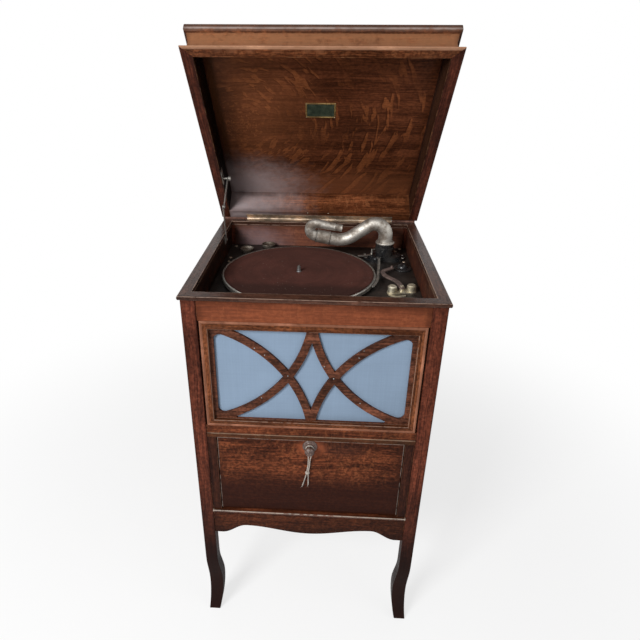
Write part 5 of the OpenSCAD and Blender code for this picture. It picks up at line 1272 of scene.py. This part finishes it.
class GRAMOPHONE_OT_tonearm(bpy.types.Operator):
    """Make the swan neck and its flange, and the turned-back crook with its open end"""
    bl_idname = "gramophone.tonearm"
    bl_label = "Tonearm"

    def execute(self, context):
        line, collar = neck_line()
        t = np.linspace(0, 1, len(line))
        ease = (1 - np.cos(np.pi * np.minimum(1, t * 1.15))) / 2
        radius = FOOT_RADIUS + (NECK_RADIUS - FOOT_RADIUS) * ease
        neck = swept(line, radius[:, None], 40)
        # Profile of the flange: skirt, rounded rim, a turned groove and a hollow up to the neck
        profile = [(0.01494, -0.008), (0.01494, 0), *arc((0.0192, 0.0008), 0.0008, -90, 0, 4),
                   *arc((0.0188, 0.0028), 0.0012, 0, 90, 5), (0.0172, 0.0040), (0.0168, 0.0036),
                   (0.0162, 0.0036), (0.0158, 0.0040),
                   *arc((0.0158, 0.0058), 0.0018, 270, 180, 5)]
        flange = turned(profile, ARM, sides=64)
        arm = new_piece("tonearm_neck", [neck, flange], old_nickel(), "tonearm")
        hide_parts("tonearm")

        # The crook in its own frame: out of the collar, half a turn, back, and the open end
        inside, bend, out, back, end = 0.0275, 0.014, 0.002, 0.038, 0.015
        a = np.linspace(0, np.pi, 28)
        path = np.vstack([[[0, 0, z] for z in np.linspace(-inside, out, 10)[:-1]],
                          np.stack([bend * (1 - np.cos(a)), 0 * a, out + bend * np.sin(a)], -1),
                          [[2 * bend, 0, out - s] for s in np.linspace(0, back + end, 22)[1:]]])
        last = len(path) - 1
        reach = np.linalg.norm(path - path[-1], axis=1)
        # The tube narrows by an eased step from where it leaves the ferrule to its step
        run = lengths(path)
        leave, wide, slim, spigot, tip, bore = 0.0290, 0.0123, 0.0083, 0.01164, 0.0075, 0.0062
        part = np.clip((run - leave) / (run[-1] - end - leave), 0, 1)
        outer = wide + (slim - wide) * (1 - np.cos(np.pi * part)) / 2
        outer = np.where((path[:, 2] < 0) & (path[:, 0] < bend), spigot, outer)
        narrow = (path[:, 0] > bend) & (reach < end - 0.0001)
        outer = np.where(narrow, tip, outer)
        first = int(np.argmax(narrow))
        # The step from the tube to its end has a small bead, and the lip of the end is rolled
        at = list(range(first)) + [first - 1, first - 1] + list(range(first, last + 1))
        ring = list(outer[:first]) + [slim + 0.0005, tip + 0.0003] + list(outer[first:])
        deep = 11
        at += [last, last, last] + list(range(last, last - deep, -1))
        ring += [tip + 0.0002, tip - 0.0001, bore + 0.0004] + [bore] * deep
        lean = Matrix.Rotation(math.radians(-8), 3, "Z")
        turn = Matrix.Rotation(math.pi / 2 - ARM_SLOPE, 3, "Y") @ lean
        path = path @ np.array(turn).T + collar
        beside = np.array(turn) @ np.array([0, 1, 0])
        pipe = swept(path, np.array(ring)[:, None], 36, beside, at)
        crook = new_piece("tonearm_crook_pipe", [pipe], old_nickel(), "crook")
        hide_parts("tonearm_crook")
        dress("tonearm_collar", old_nickel(), 0.0003)
        # Dirt lies in the two joints of the ferrule: a thin ring at each of its ends
        axis = unit(line[-1] - line[-2])
        proud = 0.01485
        seam = [(NECK_RADIUS, -0.0005), (proud, -0.0003), (proud, 0.0003), (NECK_RADIUS, 0.0005)]
        seams = [turned(seam, collar - down * axis, axis, 40)
                 for down in (0.0002, FERRULE - 0.0002)]
        new_piece("ferrule_seams", seams, japanned(), "tonearm")
        dress("tonearm_base", japanned(), 0.0008)
        dress("trip_hook", nickel(), 0.0002)
        return {"FINISHED"}


# ---- Fittings ----

class GRAMOPHONE_OT_fittings(bpy.types.Operator):
    """Finish the hinge, the lid stay, the brake, the dial, the cups and the motor board"""
    bl_idname = "gramophone.fittings"
    bl_label = "Fittings"

    def execute(self, context):
        ease = context.scene.cabinet_metal.bevel
        for node in ("hinge_case_leaf", "hinge_lid_leaf", "hinge_pin", "board_screws",
                     "spindle_bush", "flap_catch", "winding_escutcheon"):
            dress(node, brass(), ease)
        for node in ("stay_foot", "stay_lower", "stay_upper", "stay_slot_plate", "brake_arm"):
            dress(node, nickel(), ease)
        dress("brake_base", metal_finish("rubbed brass", (0.70, 0.65, 0.52), (0.36, 0.31, 0.22),
                                         0.45, 0.42), ease)
        dress("needle_cups", metal_finish("stained nickel", (0.42, 0.38, 0.33),
                                          (0.110, 0.085, 0.065), 0.75, 0.40), ease)
        dress("brake_lever", bronzed(), ease)
        dress("speed_dial", japanned(), ease * 2)
        dress("horn_throat", japanned(), ease * 2)
        dress("flap_pivots", steel())
        dress("motor_board", board_black(), 0.0006)
        return {"FINISHED"}


class GRAMOPHONE_OT_screws(bpy.types.Operator):
    """Set the screws of the hinge and the tonearm base, and the two nails inside the lid"""
    bl_idname = "gramophone.screws"
    bl_label = "Screws"

    def execute(self, context):
        rng = np.random.default_rng(11)
        # Radii of the heads, the end of the row, and how far in on the leaves and proud they lie
        hinge_screw, base_screw, nail = 0.0022, 0.0030, 0.0014
        row_end, case_in, lid_in, proud = 0.156, 0.0045, 0.0108, 0.0004
        xs = np.linspace(-row_end, row_end, 7)
        case_places = np.array([(x, low("hinge_case_leaf")[1] + case_in, RIM_Z) for x in xs])
        new_piece("hinge_case_screws", screw_heads(case_places, [(0, 0, 1)] * 7, hinge_screw,
                  rng.uniform(0, 3, 7)), brass(), "case")
        down = on_lid(0.0, 0.0, 0.0) - on_lid(0.0, 0.0, 1.0)
        # The lid's screws lie between the case's, so that no two heads meet when it is shut
        lid_places = on_lid((xs[1:] + xs[:-1]) / 2, lid_in, proud)
        new_piece("hinge_lid_screws", screw_heads(lid_places, [down] * 6, hinge_screw,
                  rng.uniform(0, 3, 6)), brass(), "lid")
        nails = on_lid(np.array([-0.0259, 0.0214]), 0.0250, proud)
        new_piece("lid_nails", pin_heads(nails, down, nail), brass(), "lid")
        base = high("motor_board")[2] + 0.005
        ears = ((-0.040, -0.010), (-0.040, 0.010), (0.040, -0.008), (0.040, 0.010))
        base_places = np.array([(ARM[0] + x, ARM[1] + y, base) for x, y in ears])
        new_piece("base_screws", screw_heads(base_places, [(0, 0, 1)] * 4, base_screw,
                  rng.uniform(0, 3, 4)), nickel(), "case")
        return {"FINISHED"}


class GRAMOPHONE_OT_motor(bpy.types.Operator):
    """Finish the plates, barrel, wheels and shafts of the motor under the board"""
    bl_idname = "gramophone.motor"
    bl_label = "Motor"

    def execute(self, context):
        for node in ("motor_frame", "spring_barrel", "barrel_arbor", "winding_shaft"):
            dress(node, steel())
        for node in ("intermediate_wheel", "governor"):
            dress(node, brass())
        return {"FINISHED"}


# ---- Floor, lamps and world ----

def soft_lamp(name, place, aim, size, power):
    light = bpy.data.lights.new(name, "AREA")
    light.shape, light.size, light.energy = "SQUARE", size, power
    lamp = bpy.data.objects.new(name, light)
    lamp.location = place
    lamp.rotation_euler = (Vector(aim) - Vector(place)).to_track_quat("-Z", "Y").to_euler()
    bpy.context.scene.collection.objects.link(lamp)


class GRAMOPHONE_OT_stage(bpy.types.Operator):
    """Lay the pale floor, hang the soft lamps and set the white surround"""
    bl_idname = "gramophone.stage"
    bl_label = "Stage"

    def execute(self, context):
        set_ = context.scene.cabinet_stage
        scene = context.scene
        scene.view_settings.view_transform = "Standard"
        g = Finish("pale floor")
        place = g.add("ShaderNodeTexCoord").outputs["Object"]
        speck = g.noise(place, scale=14.0, detail=3.0)
        bright = tuple(min(1.0, c * 1.03) for c in set_.floor)
        material = g.coat(g.mix(speck, tuple(set_.floor), bright), 0.85, Specular_IOR_Level=0.1)
        # The floor turns into the white surround away from the cabinet, and most of the way near
        # it, so that only a soft shadow is left; only the camera sees that
        far = g.step(g.vector("LENGTH", place), 0.50, 1.5, 0.72, 1.0)
        seen = g.times(far, g.add("ShaderNodeLightPath").outputs["Is Camera Ray"])
        white = g.add("ShaderNodeEmission", {"Color": (1, 1, 1), "Strength": 1.0})
        both = g.add("ShaderNodeMixShader", {0: seen, 1: g.shader.outputs[0],
                                                  2: white.outputs[0]})
        g.feed(material.node_tree.nodes["Material Output"].inputs["Surface"], both.outputs[0])
        mesh = bpy.data.meshes.new("floor")
        reach = 9.0
        mesh.from_pydata([(-reach, -reach, 0), (reach, -reach, 0), (reach, reach, 0),
                          (-reach, reach, 0)], [], [(0, 1, 2, 3)])
        mesh.materials.append(material)
        floor = bpy.data.objects.new("floor", mesh)
        scene.collection.objects.link(floor)
        world = bpy.data.worlds.new("surround")
        scene.world = world
        world.use_nodes = True
        w = Graph(world.node_tree)
        path = w.add("ShaderNodeLightPath").outputs
        direct = w.plus(path["Is Camera Ray"], w.plus(path["Is Glossy Ray"],
                        path["Is Transmission Ray"]), clamp=True)
        back = world.node_tree.nodes["Background"]
        strength = w.add("ShaderNodeMix", {0: direct, 2: set_.ambient, 3: 1.0}).outputs[0]
        w.feed(back.inputs["Color"], (1, 1, 1))
        w.feed(back.inputs["Strength"], strength)
        aim = (0, 0, 0.6)
        soft_lamp("key lamp", (-1.2, -1.9, 1.85), aim, 0.8, set_.key)
        soft_lamp("fill lamp", (1.7, -1.2, 1.5), aim, 1.4, set_.fill)
        return {"FINISHED"}


STEPS = (GRAMOPHONE_OT_camera, GRAMOPHONE_OT_string, GRAMOPHONE_OT_case_wood,
         GRAMOPHONE_OT_lid_wood, GRAMOPHONE_OT_grille, GRAMOPHONE_OT_plaque,
         GRAMOPHONE_OT_turntable, GRAMOPHONE_OT_tonearm, GRAMOPHONE_OT_fittings,
         GRAMOPHONE_OT_screws, GRAMOPHONE_OT_motor, GRAMOPHONE_OT_stage)
SETTINGS = (("cabinet_camera", CameraSettings), ("cabinet_string", StringSettings),
            ("cabinet_oak", OakSettings), ("cabinet_metal", MetalSettings),
            ("cabinet_cloth", ClothSettings), ("cabinet_stage", StageSettings))


class GRAMOPHONE_PT_panel(bpy.types.Panel):
    """Lists the settings and the steps of the cabinet"""
    bl_idname = "GRAMOPHONE_PT_panel"
    bl_label = "Gramophone Cabinet"
    bl_space_type = "VIEW_3D"
    bl_region_type = "UI"
    bl_category = "Gramophone"

    def draw(self, context):
        for name, kind in SETTINGS:
            box = self.layout.box()
            for key in kind.__annotations__:
                box.prop(getattr(context.scene, name), key)
        for step in STEPS:
            self.layout.operator(step.bl_idname)


def register():
    for name, kind in SETTINGS:
        bpy.utils.register_class(kind)
        setattr(bpy.types.Scene, name, bpy.props.PointerProperty(type=kind))
    for kind in (*STEPS, GRAMOPHONE_PT_panel):
        bpy.utils.register_class(kind)


def unregister():
    for kind in reversed((*STEPS, GRAMOPHONE_PT_panel)):
        bpy.utils.unregister_class(kind)
    for name, kind in reversed(SETTINGS):
        delattr(bpy.types.Scene, name)
        bpy.utils.unregister_class(kind)


def main():
    register()
    for step in STEPS:
        group, call = step.bl_idname.split(".")
        getattr(getattr(bpy.ops, group), call)()


if __name__ == "__main__":
    main()
